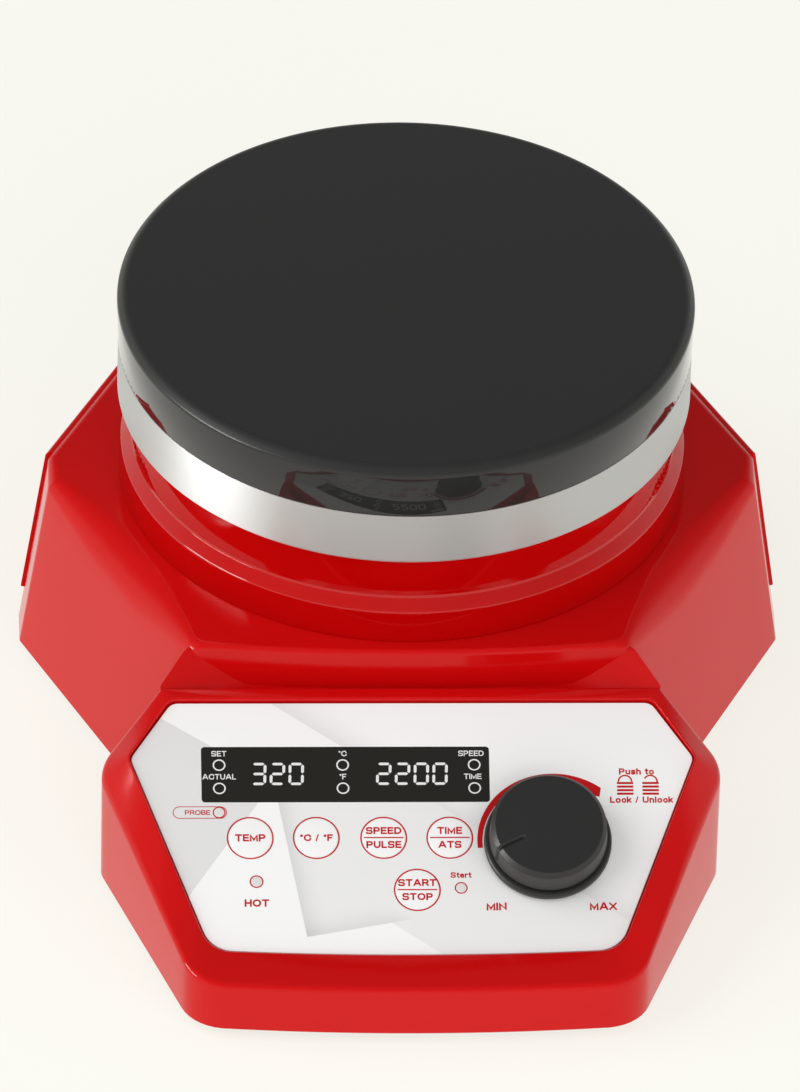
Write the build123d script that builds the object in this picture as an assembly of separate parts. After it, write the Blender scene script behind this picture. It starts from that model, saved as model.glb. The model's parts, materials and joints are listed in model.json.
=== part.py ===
from build123d import *
import math
import os

os.makedirs("parts", exist_ok=True)

# Magnetic stirrer with a round hot plate. Millimetres, +Z up, console towards -Y.
# While modelling, the plate's axis is X = Y = 0 and the housing's lower edge is Z = 0. place() then
# lifts every piece onto the feet and centres the footprint on the origin.

# Housing
deck_z = 48.5
base_side_x = 89.2
deck_side_x = 82.6
base_corner = (55.5, 74.7)
deck_corner = (50.7, 67.0)
side_half = 5.0
end_bulge = 2.8
deck_edge_r = 8.0
wall = 2.5
deck_opening_r = 50.0
foot_height = 3.0

# Console
panel_tilt = 25.0
panel_centre = (0.0, -108.0, 27.2)
panel_top = (55.75, 32.0)
panel_side = (65.4, 17.6)
panel_front = (47.2, -32.0)
panel_radii = (3.0, 2.5, 7.5)
panel_bulge = 1.0
rim_rise = 1.2
rim_back = (58.0, -75.0, 42.5)
rim_side = (73.0, -88.7, 28.9)
rim_front = (51.2, -149.0, 13.2)
rim_radii = (1.5, 8.0, 11.0)
rim_bulge = 1.8
overlay_t = 1.0
floor_t = 2.5
groove_z = 39.6
groove_half = 46.5
passage_half = 50.0

# Panel fittings, as places across and up the panel from its middle
window_left = -48.9
window_right = 17.9
window_bottom = 6.3
window_top = 20.6
key_r = 5.0
key_gap = 0.1
key_travel = 0.35
key_places = {
    "key_temperature": (-37.8, -2.9),
    "key_units": (-22.5, -2.9),
    "key_speed": (-6.9, -2.9),
    "key_time": (8.4, -2.9),
    "key_start": (0.65, -16.3),
}
lamp_r = 1.2
window_lamps = [(u, v) for u in (-44.75, -16.1, 14.4) for v in (15.9, 9.9)]
open_lamps = [(-44.9, 3.7), (10.8, -15.8), (-36.5, -14.1)]
knob_place = (31.0, -4.7)

# Knob and encoder, as heights above the panel
knob_low = 1.2
skirt_t = 1.9
skirt_r = 14.8
cap_low = 3.4
cap_top = 10.6
cap_base_r = 13.75
cap_top_r = 13.4
pointer_angle = 207.0
push_travel = 0.8
encoder_shaft_r = 3.0
board_top = -10.0
board_t = 1.6

# Neck and heated head
neck_r = 63.5
ledge_r = 66.5
ledge_z = 57.0
neck_shoulder_z = 59.5
head_z = 72.0
trim_r = 67.0
trim_t = 3.2
plate_low_z = 86.2
plate_top_z = 100.0
plate_r = 67.5
slab_low_z = 92.0
head_bolt_ring_r = 56.5
head_bolt_r = 2.0
sensor_place = (14.0, 10.0)
sensor_r = 1.5
lead_x = -46.0
lead_y = 4.0
lead_r = 1.2

# Stirring drive
shaft_r = 3.0
running_gap = 0.05
motor_r = 24.0
motor_low_z = 14.0
bracket_z = 40.0
bracket_t = 2.0
bracket_half_x = 18.0
bracket_half_y = 62.0
bracket_screw_y = 57.0
motor_screw_ring_r = 17.0
fan_low_z = 45.0
fan_high_z = 52.0
fan_r = 29.0
fan_blades = 9
carrier_low_z = 56.0
carrier_high_z = 66.0
carrier_half = (33.0, 12.0)
magnet_r = 9.0
magnet_x = 21.0

# Rear fittings
cover_proud = 1.2
cover_bite = 1.0
cover_front_y = 6.5
cover_low_z = 7.6
cover_high_z = 46.0
window_half_x = 43.0
window_margin = 5.0
window_low_z = 9.0
window_high_z = 38.0
rear_panel_y = 63.0
rear_panel_t = 2.0
inlet_x = 24.0
inlet_z = 24.0
switch_x = -6.0
switch_z = 23.5
rocker_rest = -8.0
jack_x = -30.0
jack_z = 23.5
jack_bore_r = 1.8
rod_place = (-47.5, 55.5)
rod_thread_r = 3.4
rod_insert_r = 4.5
rod_low_z = 32.0

# Base
base_t = 2.0
base_gap = 0.6
post_r = 4.0
screw_r = 1.5
base_posts = [(72.0, 0.0), (-72.0, 0.0), (54.0, 42.0), (-54.0, 42.0), (54.0, -42.0), (-54.0, -42.0)]
front_posts = [(38.0, -134.0), (-38.0, -134.0)]
feet_places = [(48.0, 52.0), (-48.0, 52.0), (44.0, -118.0), (-44.0, -118.0)]
foot_r = 7.0
foot_neck_r = 3.0

cos_tilt = math.cos(math.radians(panel_tilt))
sin_tilt = math.sin(math.radians(panel_tilt))
panel_plane = Plane(origin=panel_centre, x_dir=(1, 0, 0), z_dir=(0, -sin_tilt, cos_tilt))
floor_top = -overlay_t
floor_low = floor_top - floor_t


# ---------------------------------------------------------------- shapes used by several pieces


def bar(radius, low, high, x=0.0, y=0.0):
    """Round bar about a vertical axis, between two heights."""
    bottom = (Align.CENTER, Align.CENTER, Align.MIN)
    return Pos(x, y, low) * Cylinder(radius, high - low, align=bottom)


def tube(outer, inner, low, high, x=0.0, y=0.0):
    """Round tube about a vertical axis, between two heights."""
    return bar(outer, low, high, x, y) - bar(inner, low - 1, high + 1, x, y)


def block(x0, x1, y0, y1, z0, z1):
    """Rectangular block between two corners."""
    return Pos(x0, y0, z0) * Box(x1 - x0, y1 - y0, z1 - z0, align=(Align.MIN, Align.MIN, Align.MIN))


def turned(points):
    """Solid of revolution about the plate's axis, from a closed profile of radius and height."""
    profile = make_face(Polyline(*[(r, 0, z) for r, z in points], close=True))
    return revolve(profile, axis=Axis.Z)


def screw(head_r, head_t, shank_r, length):
    """Pan-head screw with its head on z = 0, pointing down, and a cross recess in the head."""
    head = bar(head_r, 0, head_t)
    recess = block(-head_r * 0.6, head_r * 0.6, -0.3, 0.3, head_t * 0.5, head_t + 1)
    return head + bar(shank_r, -length, 0.01) - recess - Rot(0, 0, 90) * recess


def rounded_ring(corners, radii, bow):
    """Closed line through corners in space, each rounded by its own arc.

    The middle of the front edge, between the third and fourth corners, is moved by the vector bow.
    """
    count = len(corners)
    points = [Vector(*corner) for corner in corners]
    arcs = []
    for i, corner in enumerate(points):
        back = (points[i - 1] - corner).normalized()
        ahead = (points[(i + 1) % count] - corner).normalized()
        half_turn = math.radians(180 - back.get_angle(ahead)) / 2
        reach = radii[i] * math.tan(half_turn)
        middle = (back + ahead).normalized() * (radii[i] / math.cos(half_turn) - radii[i])
        arcs.append((corner + back * reach, corner + middle, corner + ahead * reach))
    edges = []
    for i, (start, middle, end) in enumerate(arcs):
        following = arcs[(i + 1) % count][0]
        edges.append(ThreePointArc(start, middle, end))
        if i == 2:
            edges.append(ThreePointArc(end, (end + following) * 0.5 + Vector(*bow), following))
        else:
            edges.append(Line(end, following))
    return Wire(edges)


def both_sides(right):
    """Corners of a shape that is the same on both sides, from the back's left corner round the front."""
    left = [(-x, y, z) for x, y, z in right]
    return left + list(reversed(right))


def both_radii(radii):
    return list(radii) + list(reversed(radii))


def on_panel(u, v, w):
    """Point at u across, v up and w above the panel."""
    return (
        u,
        panel_centre[1] + v * cos_tilt - w * sin_tilt,
        panel_centre[2] + v * sin_tilt + w * cos_tilt,
    )


def panel_prism(grow, low, high):
    """The panel's six-sided outline, grown outwards, between two heights above the panel."""
    right = [
        (panel_top[0] + 0.8 * grow, panel_top[1] + grow, low),
        (panel_side[0] + grow, panel_side[1], low),
        (panel_front[0] + 0.8 * grow, panel_front[1] - grow, low),
    ]
    outline = rounded_ring(both_sides(right), both_radii(panel_radii), (0, -panel_bulge, 0))
    return extrude(make_face(outline), amount=high - low, dir=(0, 0, 1))


def panel_bar(radius, low, high, place):
    """Round bar standing on the panel at a place across and up, in the panel's own axes."""
    return bar(radius, low, high, place[0], place[1])


# ---------------------------------------------------------------- housing


def body_outline(inset, level):
    """Six-sided plan outline of the housing at one height, drawn in from its skin by inset."""
    share = level / deck_z
    side_x = base_side_x + (deck_side_x - base_side_x) * share - inset
    corner_x = base_corner[0] + (deck_corner[0] - base_corner[0]) * share - 0.61 * inset
    corner_y = base_corner[1] + (deck_corner[1] - base_corner[1]) * share - inset
    half = side_half - 0.24 * inset
    edges = [
        Line((side_x, -half, level), (side_x, half, level)),
        Line((side_x, half, level), (corner_x, corner_y, level)),
        ThreePointArc(
            (corner_x, corner_y, level),
            (0, corner_y + end_bulge, level),
            (-corner_x, corner_y, level),
        ),
        Line((-corner_x, corner_y, level), (-side_x, half, level)),
        Line((-side_x, half, level), (-side_x, -half, level)),
        Line((-side_x, -half, level), (-corner_x, -corner_y, level)),
        ThreePointArc(
            (-corner_x, -corner_y, level),
            (0, -corner_y - end_bulge, level),
            (corner_x, -corner_y, level),
        ),
        Line((corner_x, -corner_y, level), (side_x, -half, level)),
    ]
    return make_face(edges)


def body_solid(inset, low, high):
    """Solid between two heights inside the drafted six-sided skin."""
    return loft([body_outline(inset, low), body_outline(inset, high)], ruled=True)


def console_solid(inset, drop, top_w, low):
    """Console block: upright walls, then a sloping rim up to the panel's edge.

    inset draws the walls in, drop lowers the rim's outer edge and top_w is the top's height
    above the panel.
    """
    crease = [
        (rim_back[0] - inset, rim_back[1] - inset, rim_back[2] - drop),
        (rim_side[0] - inset, rim_side[1] + 0.3 * inset, rim_side[2] - drop),
        (rim_front[0] - 0.8 * inset, rim_front[1] + inset, rim_front[2] - drop),
    ]
    grow = 0.4 - 0.8 * inset
    top = [
        on_panel(panel_top[0] + 0.8 * grow, panel_top[1] + grow, top_w),
        on_panel(panel_side[0] + grow, panel_side[1], top_w),
        on_panel(panel_front[0] + 0.8 * grow, panel_front[1] - grow, top_w),
    ]
    foot = [(x, y, low) for x, y, z in crease]
    level_bow = (0, -rim_bulge, 0)
    tilted_bow = (0, -panel_bulge * cos_tilt, -panel_bulge * sin_tilt)
    levels = [
        rounded_ring(both_sides(foot), both_radii(rim_radii), level_bow),
        rounded_ring(both_sides(crease), both_radii(rim_radii), level_bow),
        rounded_ring(both_sides(top), both_radii(panel_radii), tilted_bow),
    ]
    return Solid.make_loft(levels, ruled=True)


def cheek_solid(side):
    """Slanted facet that runs from the deck's front corner down to the console's rim."""
    rim = (58.1 * side, -75.0, 42.5)
    shoulder = (52.9 * side, -66.5, 48.0)
    inner = (44.4 * side, -70.0, 41.0)
    plan = [(rim[0], rim[1]), (shoulder[0], shoulder[1]), (44.4 * side, -64.0), (groove_half * side, -76.0)]
    prism = extrude(make_face(Polyline(*plan, close=True)), amount=deck_z, dir=(0, 0, 1))
    across = Vector(*shoulder) - Vector(*rim)
    inwards = Vector(*inner) - Vector(*rim)
    normal = across.cross(inwards)
    if normal.Z < 0:
        normal = normal * -1
    return split(prism, bisect_by=Plane(origin=rim, z_dir=normal), keep=Keep.BOTTOM)


def rear_cover_skin(grow):
    """Band that wraps the rear half of the housing, a little proud of it."""
    band = body_solid(-cover_proud - grow, cover_low_z - grow, cover_high_z + grow)
    band -= body_solid(cover_bite + grow, cover_low_z - 2, cover_high_z + 2)
    return band & block(-100, 100, cover_front_y - grow, 100, 0, deck_z)


def rear_window(grow, low_y, high_y):
    """Block that passes through the opening in the rear wall; grow 1 adds the frame around it."""
    return block(
        -window_half_x - grow * window_margin,
        window_half_x + grow * window_margin,
        low_y,
        high_y,
        window_low_z - grow * wall,
        window_high_z + grow * wall,
    )


def make_upper_housing():
    outer = body_solid(0, 0, deck_z)
    deck_edges = outer.edges().filter_by(lambda edge: abs(edge.center().Z - deck_z) < 0.01)
    outer = fillet(deck_edges, deck_edge_r)
    # The front edge stays crisp, because the neck's ledge reaches right to it
    outer += body_solid(0, 0, deck_z) & block(-groove_half, groove_half, -80, -50, 30, deck_z)
    outer += block(-groove_half, groove_half, -76.0, -60.0, 0, groove_z)
    outer += console_solid(0, 0, rim_rise, 0)
    outer += cheek_solid(1) + cheek_solid(-1)
    hollow = body_solid(wall, -1, deck_z - wall)
    hollow += console_solid(wall, wall, floor_low, -1)
    hollow += block(-passage_half, passage_half, -80, -60, -1, groove_z - wall)
    shell = outer - hollow
    # Window frame for the flat rear panel
    frame = rear_window(1, rear_panel_y + rear_panel_t, 90) & body_solid(0, 0, deck_z)
    shell += frame
    shell -= rear_window(0, rear_panel_y, 90)
    for x, z in rear_screw_places():
        shell -= Pos(x, rear_panel_y + 3.5, z) * Rot(90, 0, 0) * Cylinder(screw_r, 7)
    # Posts for the base screws, hung from the deck and from the console's floor
    posts = [bar(post_r, base_t, deck_z - wall + 0.1, x, y) for x, y in base_posts]
    posts += [bar(post_r, base_t, 11.5, x, y) for x, y in front_posts]
    posts += [bar(post_r, bracket_z + bracket_t, deck_z - wall + 0.1, 0, s * bracket_screw_y) for s in (1, -1)]
    posts.append(bar(rod_insert_r + 1.5, rod_low_z - 1.0, deck_z - wall + 0.1, *rod_place) & body_solid(wall, 0, deck_z))
    for post in posts:
        shell += post
    for x, y in base_posts + front_posts:
        shell -= bar(screw_r, 0, 10, x, y)
    for s in (1, -1):
        shell -= bar(screw_r, 38, 46, 0, s * bracket_screw_y)
    # Deck openings: the drive, the head bolts and the rod insert
    shell -= bar(deck_opening_r, 40, 60)
    for spot in head_bolt_places():
        shell -= bar(head_bolt_r + 0.1, 40, 60, *spot)
    shell -= bar(rod_insert_r, rod_low_z - 2, 60, *rod_place)
    # Panel recess, window, key holes, lamp holes and encoder hole
    cuts = [panel_prism(0.15, -overlay_t, 6)]
    cuts.append(block(window_left + 1.5, window_right - 1.5, window_bottom + 1, window_top - 1, -6, 1))
    cuts += [panel_bar(key_r + key_gap, -6, 1, place) for place in key_places.values()]
    cuts += [panel_bar(lamp_r + 0.1, -6, 1, place) for place in open_lamps]
    cuts.append(panel_bar(3.6, -6, 1, knob_place))
    for cut in cuts:
        shell -= panel_plane * cut
    # Pillars that carry the control board
    for place in board_screw_places():
        pillar = panel_plane * (panel_bar(2.6, board_top, floor_low + 0.1, place))
        shell += pillar
        shell -= panel_plane * panel_bar(1.1, board_top - 1, floor_low, place)
    return shell - rear_cover_skin(0)


def make_rear_cover():
    return rear_cover_skin(0) - rear_window(1.1, 50, 100)


def make_rear_panel():
    plate = rear_window(1, rear_panel_y, rear_panel_y + rear_panel_t)
    holes = [
        block(inlet_x - 14, inlet_x + 14, 50, 80, inlet_z - 12, inlet_z + 10),
        block(switch_x - 6.5, switch_x + 6.5, 50, 80, switch_z - 9.7, switch_z + 9.7),
        Pos(jack_x, 60, jack_z) * Rot(90, 0, 0) * Cylinder(4.0, 40),
    ]
    for hole in holes:
        plate -= hole
    for x, z in rear_screw_places():
        plate -= Pos(x, 60, z) * Rot(90, 0, 0) * Cylinder(screw_r, 40)
    return plate


def rear_screw_places():
    return [(x, z) for x in (-45.5, 45.5) for z in (13.0, 27.0)]


def make_rear_screws():
    return [Pos(x, rear_panel_y, z) * Rot(90, 0, 0) * screw(2.6, 1.6, screw_r, 4.5) for x, z in rear_screw_places()]


def base_outline():
    """Plan of the base plate: the housing's inside, less a gap that allows for the walls' draft."""
    inset = wall + base_gap
    body = body_outline(inset, 0) + Pos(0, -70) * Rectangle(2 * passage_half - 1, 30)
    corners = [
        (rim_back[0] - inset, rim_back[1] - inset, 0),
        (rim_side[0] - inset, rim_side[1], 0),
        (rim_front[0] - 0.8 * inset, rim_front[1] + inset, 0),
    ]
    console = make_face(rounded_ring(both_sides(corners), both_radii(rim_radii), (0, -rim_bulge, 0)))
    return body + console


def make_base_plate():
    plate = extrude(base_outline(), amount=base_t, dir=(0, 0, 1))
    slot = SlotOverall(46, 3.2)
    for i in range(7):
        plate -= Pos(0, -21 + 7.0 * i, -1) * extrude(slot, amount=base_t + 2, dir=(0, 0, 1))
    for x, y in base_posts + front_posts:
        plate -= bar(screw_r + 0.1, -1, 5, x, y)
        plate -= bar(3.0, -1, 0.9, x, y)
    for x, y in feet_places:
        plate -= bar(foot_neck_r, -1, 5, x, y)
    return plate


def make_base_screws():
    screws = []
    for x, y in base_posts + front_posts:
        length = 8.0 if (x, y) in base_posts else 7.0
        screws.append(Pos(x, y, 0.9) * Rot(180, 0, 0) * screw(2.7, 0.8, screw_r, length))
    return screws


def make_rubber_feet():
    profile = [(0, -foot_height), (foot_r - 0.8, -foot_height), (foot_r, -foot_height + 0.8), (foot_r, 0)]
    profile += [(foot_neck_r, 0), (foot_neck_r, base_t), (foot_neck_r + 0.7, base_t)]
    profile += [(foot_neck_r + 0.3, base_t + 1.6), (0, base_t + 1.6)]
    return [Pos(x, y, 0) * turned(profile) for x, y in feet_places]


# ---------------------------------------------------------------- neck and heated head


def head_bolt_places():
    return [
        (head_bolt_ring_r * math.cos(math.radians(45 + 90 * i)), head_bolt_ring_r * math.sin(math.radians(45 + 90 * i)))
        for i in range(4)
    ]


def drilled(piece, radius, low, high, lead_holes=True):
    """A piece of the head with holes for its four bolts and for the heater's two leads."""
    for spot in head_bolt_places():
        piece -= bar(radius, low - 1, high + 1, *spot)
    if lead_holes:
        for side in (1, -1):
            piece -= bar(lead_r + 0.2, low - 1, high + 1, lead_x, side * lead_y)
    return piece


def make_neck_collar():
    profile = [
        (deck_opening_r + 2, deck_z),
        (ledge_r, deck_z),
        (ledge_r - 0.4, ledge_z),
        (neck_r + 0.2, neck_shoulder_z),
        (neck_r, neck_shoulder_z + 0.6),
        (neck_r, head_z - 1.6),
        (neck_r + 0.8, head_z - 1.2),
        (neck_r + 0.8, head_z - 0.5),
        (neck_r - 2.5, head_z - 0.5),
        (neck_r - 2.5, deck_z + wall),
        (deck_opening_r + 2, deck_z + wall),
    ]
    return drilled(turned(profile), head_bolt_r + 0.1, 45, 55, lead_holes=False)


def make_head_standoffs():
    return [tube(3.5, head_bolt_r + 0.1, deck_z + wall, head_z - 1.0, *spot) for spot in head_bolt_places()]


def make_heat_shield():
    shield = bar(neck_r - 3.0, head_z - 1.0, head_z)
    return drilled(shield, head_bolt_r + 0.1, head_z - 1, head_z)


def make_trim_ring():
    profile = [
        (55.0 - 1.5, head_z),
        (trim_r - 0.8, head_z),
        (trim_r, head_z + 0.8),
        (trim_r, plate_low_z),
        (trim_r - trim_t, plate_low_z),
        (trim_r - trim_t, head_z + 1.5),
        (55.0 - 1.5, head_z + 1.5),
    ]
    return drilled(turned(profile), head_bolt_r + 0.1, head_z, head_z + 2, lead_holes=False)


def make_insulation_disc():
    disc = bar(trim_r - trim_t - 0.3, head_z + 1.5, slab_low_z - 4.0)
    disc = drilled(disc, head_bolt_r + 0.1, head_z, slab_low_z)
    return disc - bar(sensor_r + 1.0, 70, 100, *sensor_place)


def make_element_clamp():
    plate = drilled(bar(60.0, slab_low_z - 4.0, slab_low_z - 2.5), head_bolt_r + 0.1, 80, 92)
    return plate - bar(sensor_r + 0.1, 70, 100, *sensor_place)


def make_heating_element():
    disc = bar(52.0, slab_low_z - 2.5, slab_low_z) - bar(8.0, 80, 100)
    return disc - bar(sensor_r + 0.1, 70, 100, *sensor_place)


def make_heating_plate():
    profile = [
        (0, slab_low_z),
        (plate_r - 3.4, slab_low_z),
        (plate_r - 3.4, plate_low_z),
        (plate_r - 0.5, plate_low_z),
        (plate_r, plate_top_z - 2.0),
        (plate_r - 0.6, plate_top_z - 0.6),
        (plate_r - 2.0, plate_top_z),
        (0, plate_top_z),
    ]
    plate = turned(profile)
    for spot in head_bolt_places():
        plate -= bar(head_bolt_r, 80, 97, *spot)
    return plate - bar(sensor_r + 0.1, 80, 97.5, *sensor_place)


def make_head_bolts():
    length = 97.0 - (deck_z - wall) - 0.2
    bolt = bar(3.6, -2.6, 0) + bar(head_bolt_r, -0.01, length) - Pos(0, 0, -2.6) * extrude(
        RegularPolygon(1.5, 6), amount=1.4, dir=(0, 0, 1)
    )
    return [Pos(x, y, deck_z - wall) * bolt for x, y in head_bolt_places()]


def make_plate_sensor():
    return bar(sensor_r, 78, 97, *sensor_place) + bar(sensor_r + 0.9, head_z + 1.6, 77, *sensor_place) + bar(
        sensor_r, 76.9, 78.1, *sensor_place
    )


def make_heater_leads():
    return [bar(lead_r, 10.2, slab_low_z - 2.5, lead_x, side * lead_y) for side in (1, -1)]


# ---------------------------------------------------------------- stirring drive


def make_motor_can():
    can = bar(motor_r, motor_low_z + 1.5, bracket_z) - bar(motor_r - 1.5, motor_low_z, bracket_z - 6.5)
    can -= bar(8.0, 20, bracket_z - 1.5)
    can -= bar(shaft_r + 0.6, 20, bracket_z + 1)
    for i in range(4):
        can -= Rot(0, 0, 45 + 90 * i) * bar(screw_r, bracket_z - 5, bracket_z + 1, motor_screw_ring_r)
    return can


def make_motor_end_bell():
    bell = bar(motor_r, motor_low_z, motor_low_z + 1.5) + tube(10.0, 8.0, motor_low_z, motor_low_z + 6.5)
    return bell - bar(shaft_r + 0.6, 0, 20)


def make_motor_windings():
    return [Rot(0, 0, 60 * i) * block(14.0, 21.0, -4.5, 4.5, 17.5, 21.0) for i in range(6)]


def make_motor_stator():
    stator = tube(motor_r - 1.5, 13.0, 21.0, 33.0)
    for i in range(6):
        stator -= Rot(0, 0, 30 + 60 * i) * block(14.5, 21.0, -2.2, 2.2, 20, 34)
    return [stator] + make_motor_windings()


def make_motor_bearings():
    lower = tube(8.0, shaft_r + running_gap, motor_low_z + 1.5, motor_low_z + 6.5)
    upper = tube(8.0, shaft_r + running_gap, bracket_z - 6.5, bracket_z - 1.5)
    return [lower, upper]


def make_motor_bracket():
    plate = block(-bracket_half_x, bracket_half_x, -bracket_half_y, bracket_half_y, bracket_z, bracket_z + bracket_t)
    plate += bar(27.0, bracket_z, bracket_z + bracket_t)
    plate -= bar(shaft_r + 2.0, 30, 50)
    for i in range(4):
        plate -= Rot(0, 0, 45 + 90 * i) * bar(screw_r + 0.1, 30, 50, motor_screw_ring_r)
    for side in (1, -1):
        plate -= bar(screw_r + 0.1, 30, 50, 0, side * bracket_screw_y)
    return plate


def make_drive_screws():
    """Four screws down into the motor and two up into the housing's posts."""
    down = Pos(motor_screw_ring_r, 0, bracket_z + bracket_t) * screw(2.7, 1.8, screw_r, 5.5)
    up = Pos(0, bracket_screw_y, bracket_z) * Rot(180, 0, 0) * screw(2.7, 1.8, screw_r, 5.5)
    into_motor = [Rot(0, 0, 45 + 90 * i) * down for i in range(4)]
    return into_motor + [Rot(0, 0, 180 * i) * up for i in range(2)]


def make_motor_shaft():
    return bar(shaft_r, motor_low_z + 0.8, carrier_low_z + 5.0)


def make_motor_rotor():
    return tube(12.6, shaft_r, 21.0, 33.0)


def make_cooling_fan():
    fan = tube(8.0, shaft_r, fan_low_z, fan_high_z) + tube(fan_r, 6.0, fan_low_z, fan_low_z + 1.2)
    for i in range(fan_blades):
        fan += Rot(0, 0, 360 / fan_blades * i) * block(7.0, fan_r - 0.5, -0.6, 0.6, fan_low_z + 1, fan_high_z)
    return fan


def make_magnet_carrier():
    half_x, half_y = carrier_half
    bar_shape = block(-half_x, half_x, -half_y, half_y, carrier_low_z, carrier_high_z)
    carrier = bar_shape & bar(half_x, carrier_low_z, carrier_high_z)
    carrier += bar(9.0, fan_high_z + 0.4, carrier_low_z + 0.1)
    carrier -= bar(shaft_r, 40, carrier_low_z + 5.0)
    for side in (1, -1):
        carrier -= bar(magnet_r, carrier_high_z - 6.0, 80, side * magnet_x)
    return carrier


def make_drive_magnets():
    return [bar(magnet_r, carrier_high_z - 6.0, carrier_high_z, side * magnet_x) for side in (1, -1)]


# ---------------------------------------------------------------- front panel


def make_panel_overlay():
    film = panel_prism(0, -overlay_t, 0)
    film -= window_block(0, -2, 1)
    for place in key_places.values():
        film -= panel_bar(key_r + key_gap, -2, 1, place)
    for place in open_lamps:
        film -= panel_bar(lamp_r, -2, 1, place)
    film -= panel_bar(7.5, -2, 1, knob_place)
    return panel_plane * film


def window_block(inset, low, high):
    """Rectangular window with small corner radii, in the panel's own axes."""
    shape = block(window_left + inset, window_right - inset, window_bottom + inset, window_top - inset, low, high)
    return fillet(shape.edges().filter_by(Axis.Z), 0.8)


def make_display_window():
    return panel_plane * window_block(0, -overlay_t, 0)


def make_display_module():
    body = block(window_left + 1.8, window_right - 1.8, window_bottom + 1.3, window_top - 1.3, board_top, -1.6)
    for place in window_lamps:
        body -= panel_bar(lamp_r + 0.1, board_top - 1, 0, place)
    return panel_plane * body


def make_indicator_lamps():
    behind = [panel_plane * panel_bar(lamp_r, board_top, -1.2, place) for place in window_lamps]
    through = [panel_plane * panel_bar(lamp_r, board_top, 0, place) for place in open_lamps]
    return behind + through


def make_key(place):
    """Round key cap on a stem, with a flange that stops it under the panel's floor."""
    cap = panel_bar(key_r, -3.2, 0.15, place)
    flange = panel_bar(key_r + 0.9, floor_low - 0.9, floor_low - 0.1, place)
    neck = panel_bar(key_r, floor_low - 0.5, -3.1, place)
    stem = panel_bar(2.0, -6.5, floor_low - 0.5, place)
    return panel_plane * (cap + flange + neck + stem)


def make_key_switches():
    switches = []
    for u, v in key_places.values():
        body = block(u - 3, u + 3, v - 3, v + 3, board_top, -7.2)
        body += panel_bar(1.7, -7.3, -6.5 - key_travel - 0.05, (u, v))
        switches.append(panel_plane * body)
    return switches


def board_screw_places():
    return [(-52.0, 15.0), (45.0, 15.0), (-30.0, -17.0), (46.0, -17.0)]


def make_control_board():
    outline = [(-54, 26), (54, 26), (60, 16), (46, -22), (-46, -22), (-60, 16)]
    board = extrude(make_face(Polyline(*outline, close=True)), amount=board_t, dir=(0, 0, 1))
    board = Pos(0, 0, board_top - board_t) * board
    for place in board_screw_places():
        board -= panel_bar(1.2, -20, 0, place)
    return panel_plane * board


def make_board_screws():
    low = board_top - board_t
    return [
        panel_plane * (Pos(u, v, low) * Rot(180, 0, 0) * screw(2.2, 1.3, 1.1, 6.0)) for u, v in board_screw_places()
    ]


def make_encoder_body():
    u, v = knob_place
    body = block(u - 6.5, u + 6.5, v - 6.5, v + 6.5, board_top, floor_low - 0.1)
    body += panel_bar(3.5, floor_low - 0.2, 3.4, knob_place)
    body -= panel_bar(5.3, board_top + 0.8, -5.2, knob_place)
    body -= panel_bar(encoder_shaft_r + running_gap, -6, 5, knob_place)
    return panel_plane * body


def make_encoder_fixings():
    """Washer and six-sided nut that clamp the encoder's bush to the panel's floor."""
    u, v = knob_place
    washer = panel_bar(6.2, floor_top, floor_top + 0.5, knob_place) - panel_bar(3.55, -2, 1, knob_place)
    nut = Pos(u, v, floor_top + 0.5) * extrude(RegularPolygon(5.6, 6), amount=1.8, dir=(0, 0, 1))
    return [panel_plane * washer, panel_plane * (nut - panel_bar(3.5, -2, 3, knob_place))]


def make_encoder_wheel():
    wheel = panel_bar(5.0, -8.8, -5.4, knob_place) - panel_bar(encoder_shaft_r + running_gap, -10, -5, knob_place)
    u, v = knob_place
    for i in range(12):
        wheel -= Pos(u, v, 0) * Rot(0, 0, 30 * i) * bar(0.5, -10, -5, 5.1)
    return panel_plane * wheel


def make_encoder_shaft():
    return panel_plane * panel_bar(encoder_shaft_r, board_top + 1.8, 9.0, knob_place)


def make_knob_skirt():
    """Flange of the knob: a disc with a rounded edge and a hollow that clears the fixing nut."""
    skirt = bar(skirt_r, knob_low, knob_low + skirt_t)
    skirt = fillet(skirt.edges().filter_by(lambda edge: edge.center().Z > knob_low + 1), 0.7)
    skirt += bar(12.8, knob_low + skirt_t - 0.2, cap_low)
    skirt -= bar(7.5, 0, cap_low + 1)
    return panel_plane * (Pos(knob_place[0], knob_place[1], 0) * skirt)


def make_knob_cap():
    """Tapered cap with a bevelled top edge, a socket for the shaft and a pointer notch."""
    profile = [
        (0, cap_low + 1.2),
        (7.5, cap_low + 1.2),
        (7.5, cap_low),
        (cap_base_r, cap_low),
        (cap_top_r + 0.05, cap_top - 1.0),
        (cap_top_r - 0.9, cap_top),
        (0, cap_top),
    ]
    cap = turned(profile)
    cap -= bar(encoder_shaft_r, 0, 9.0)
    groove = extrude(make_face(Polyline((0, -0.9, 0), (0, 0.9, 0), (0, 0, -0.9), close=True)), amount=12, dir=(1, 0, 0))
    cap -= Rot(0, 0, pointer_angle) * Pos(6.5, 0, cap_top) * groove
    return panel_plane * (Pos(knob_place[0], knob_place[1], 0) * cap)


# ---------------------------------------------------------------- electronics


def make_power_board():
    board = block(-66, -30, -38, 38, 8.0, 9.6)
    for x, y in spacer_places():
        board -= bar(1.6, 0, 20, x, y)
    return board


def spacer_places():
    return [(x, y) for x in (-62.0, -34.0) for y in (-34.0, 34.0)]


def make_board_spacers():
    return [bar(3.0, base_t, 8.0, x, y) + bar(1.6, 7.9, 10.6, x, y) for x, y in spacer_places()]


def make_transformer():
    core = block(-60, -36, 10, 30, 9.6, 28.0)
    coil = block(-57, -39, 7, 33, 12.5, 25.0)
    return core + coil


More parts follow.
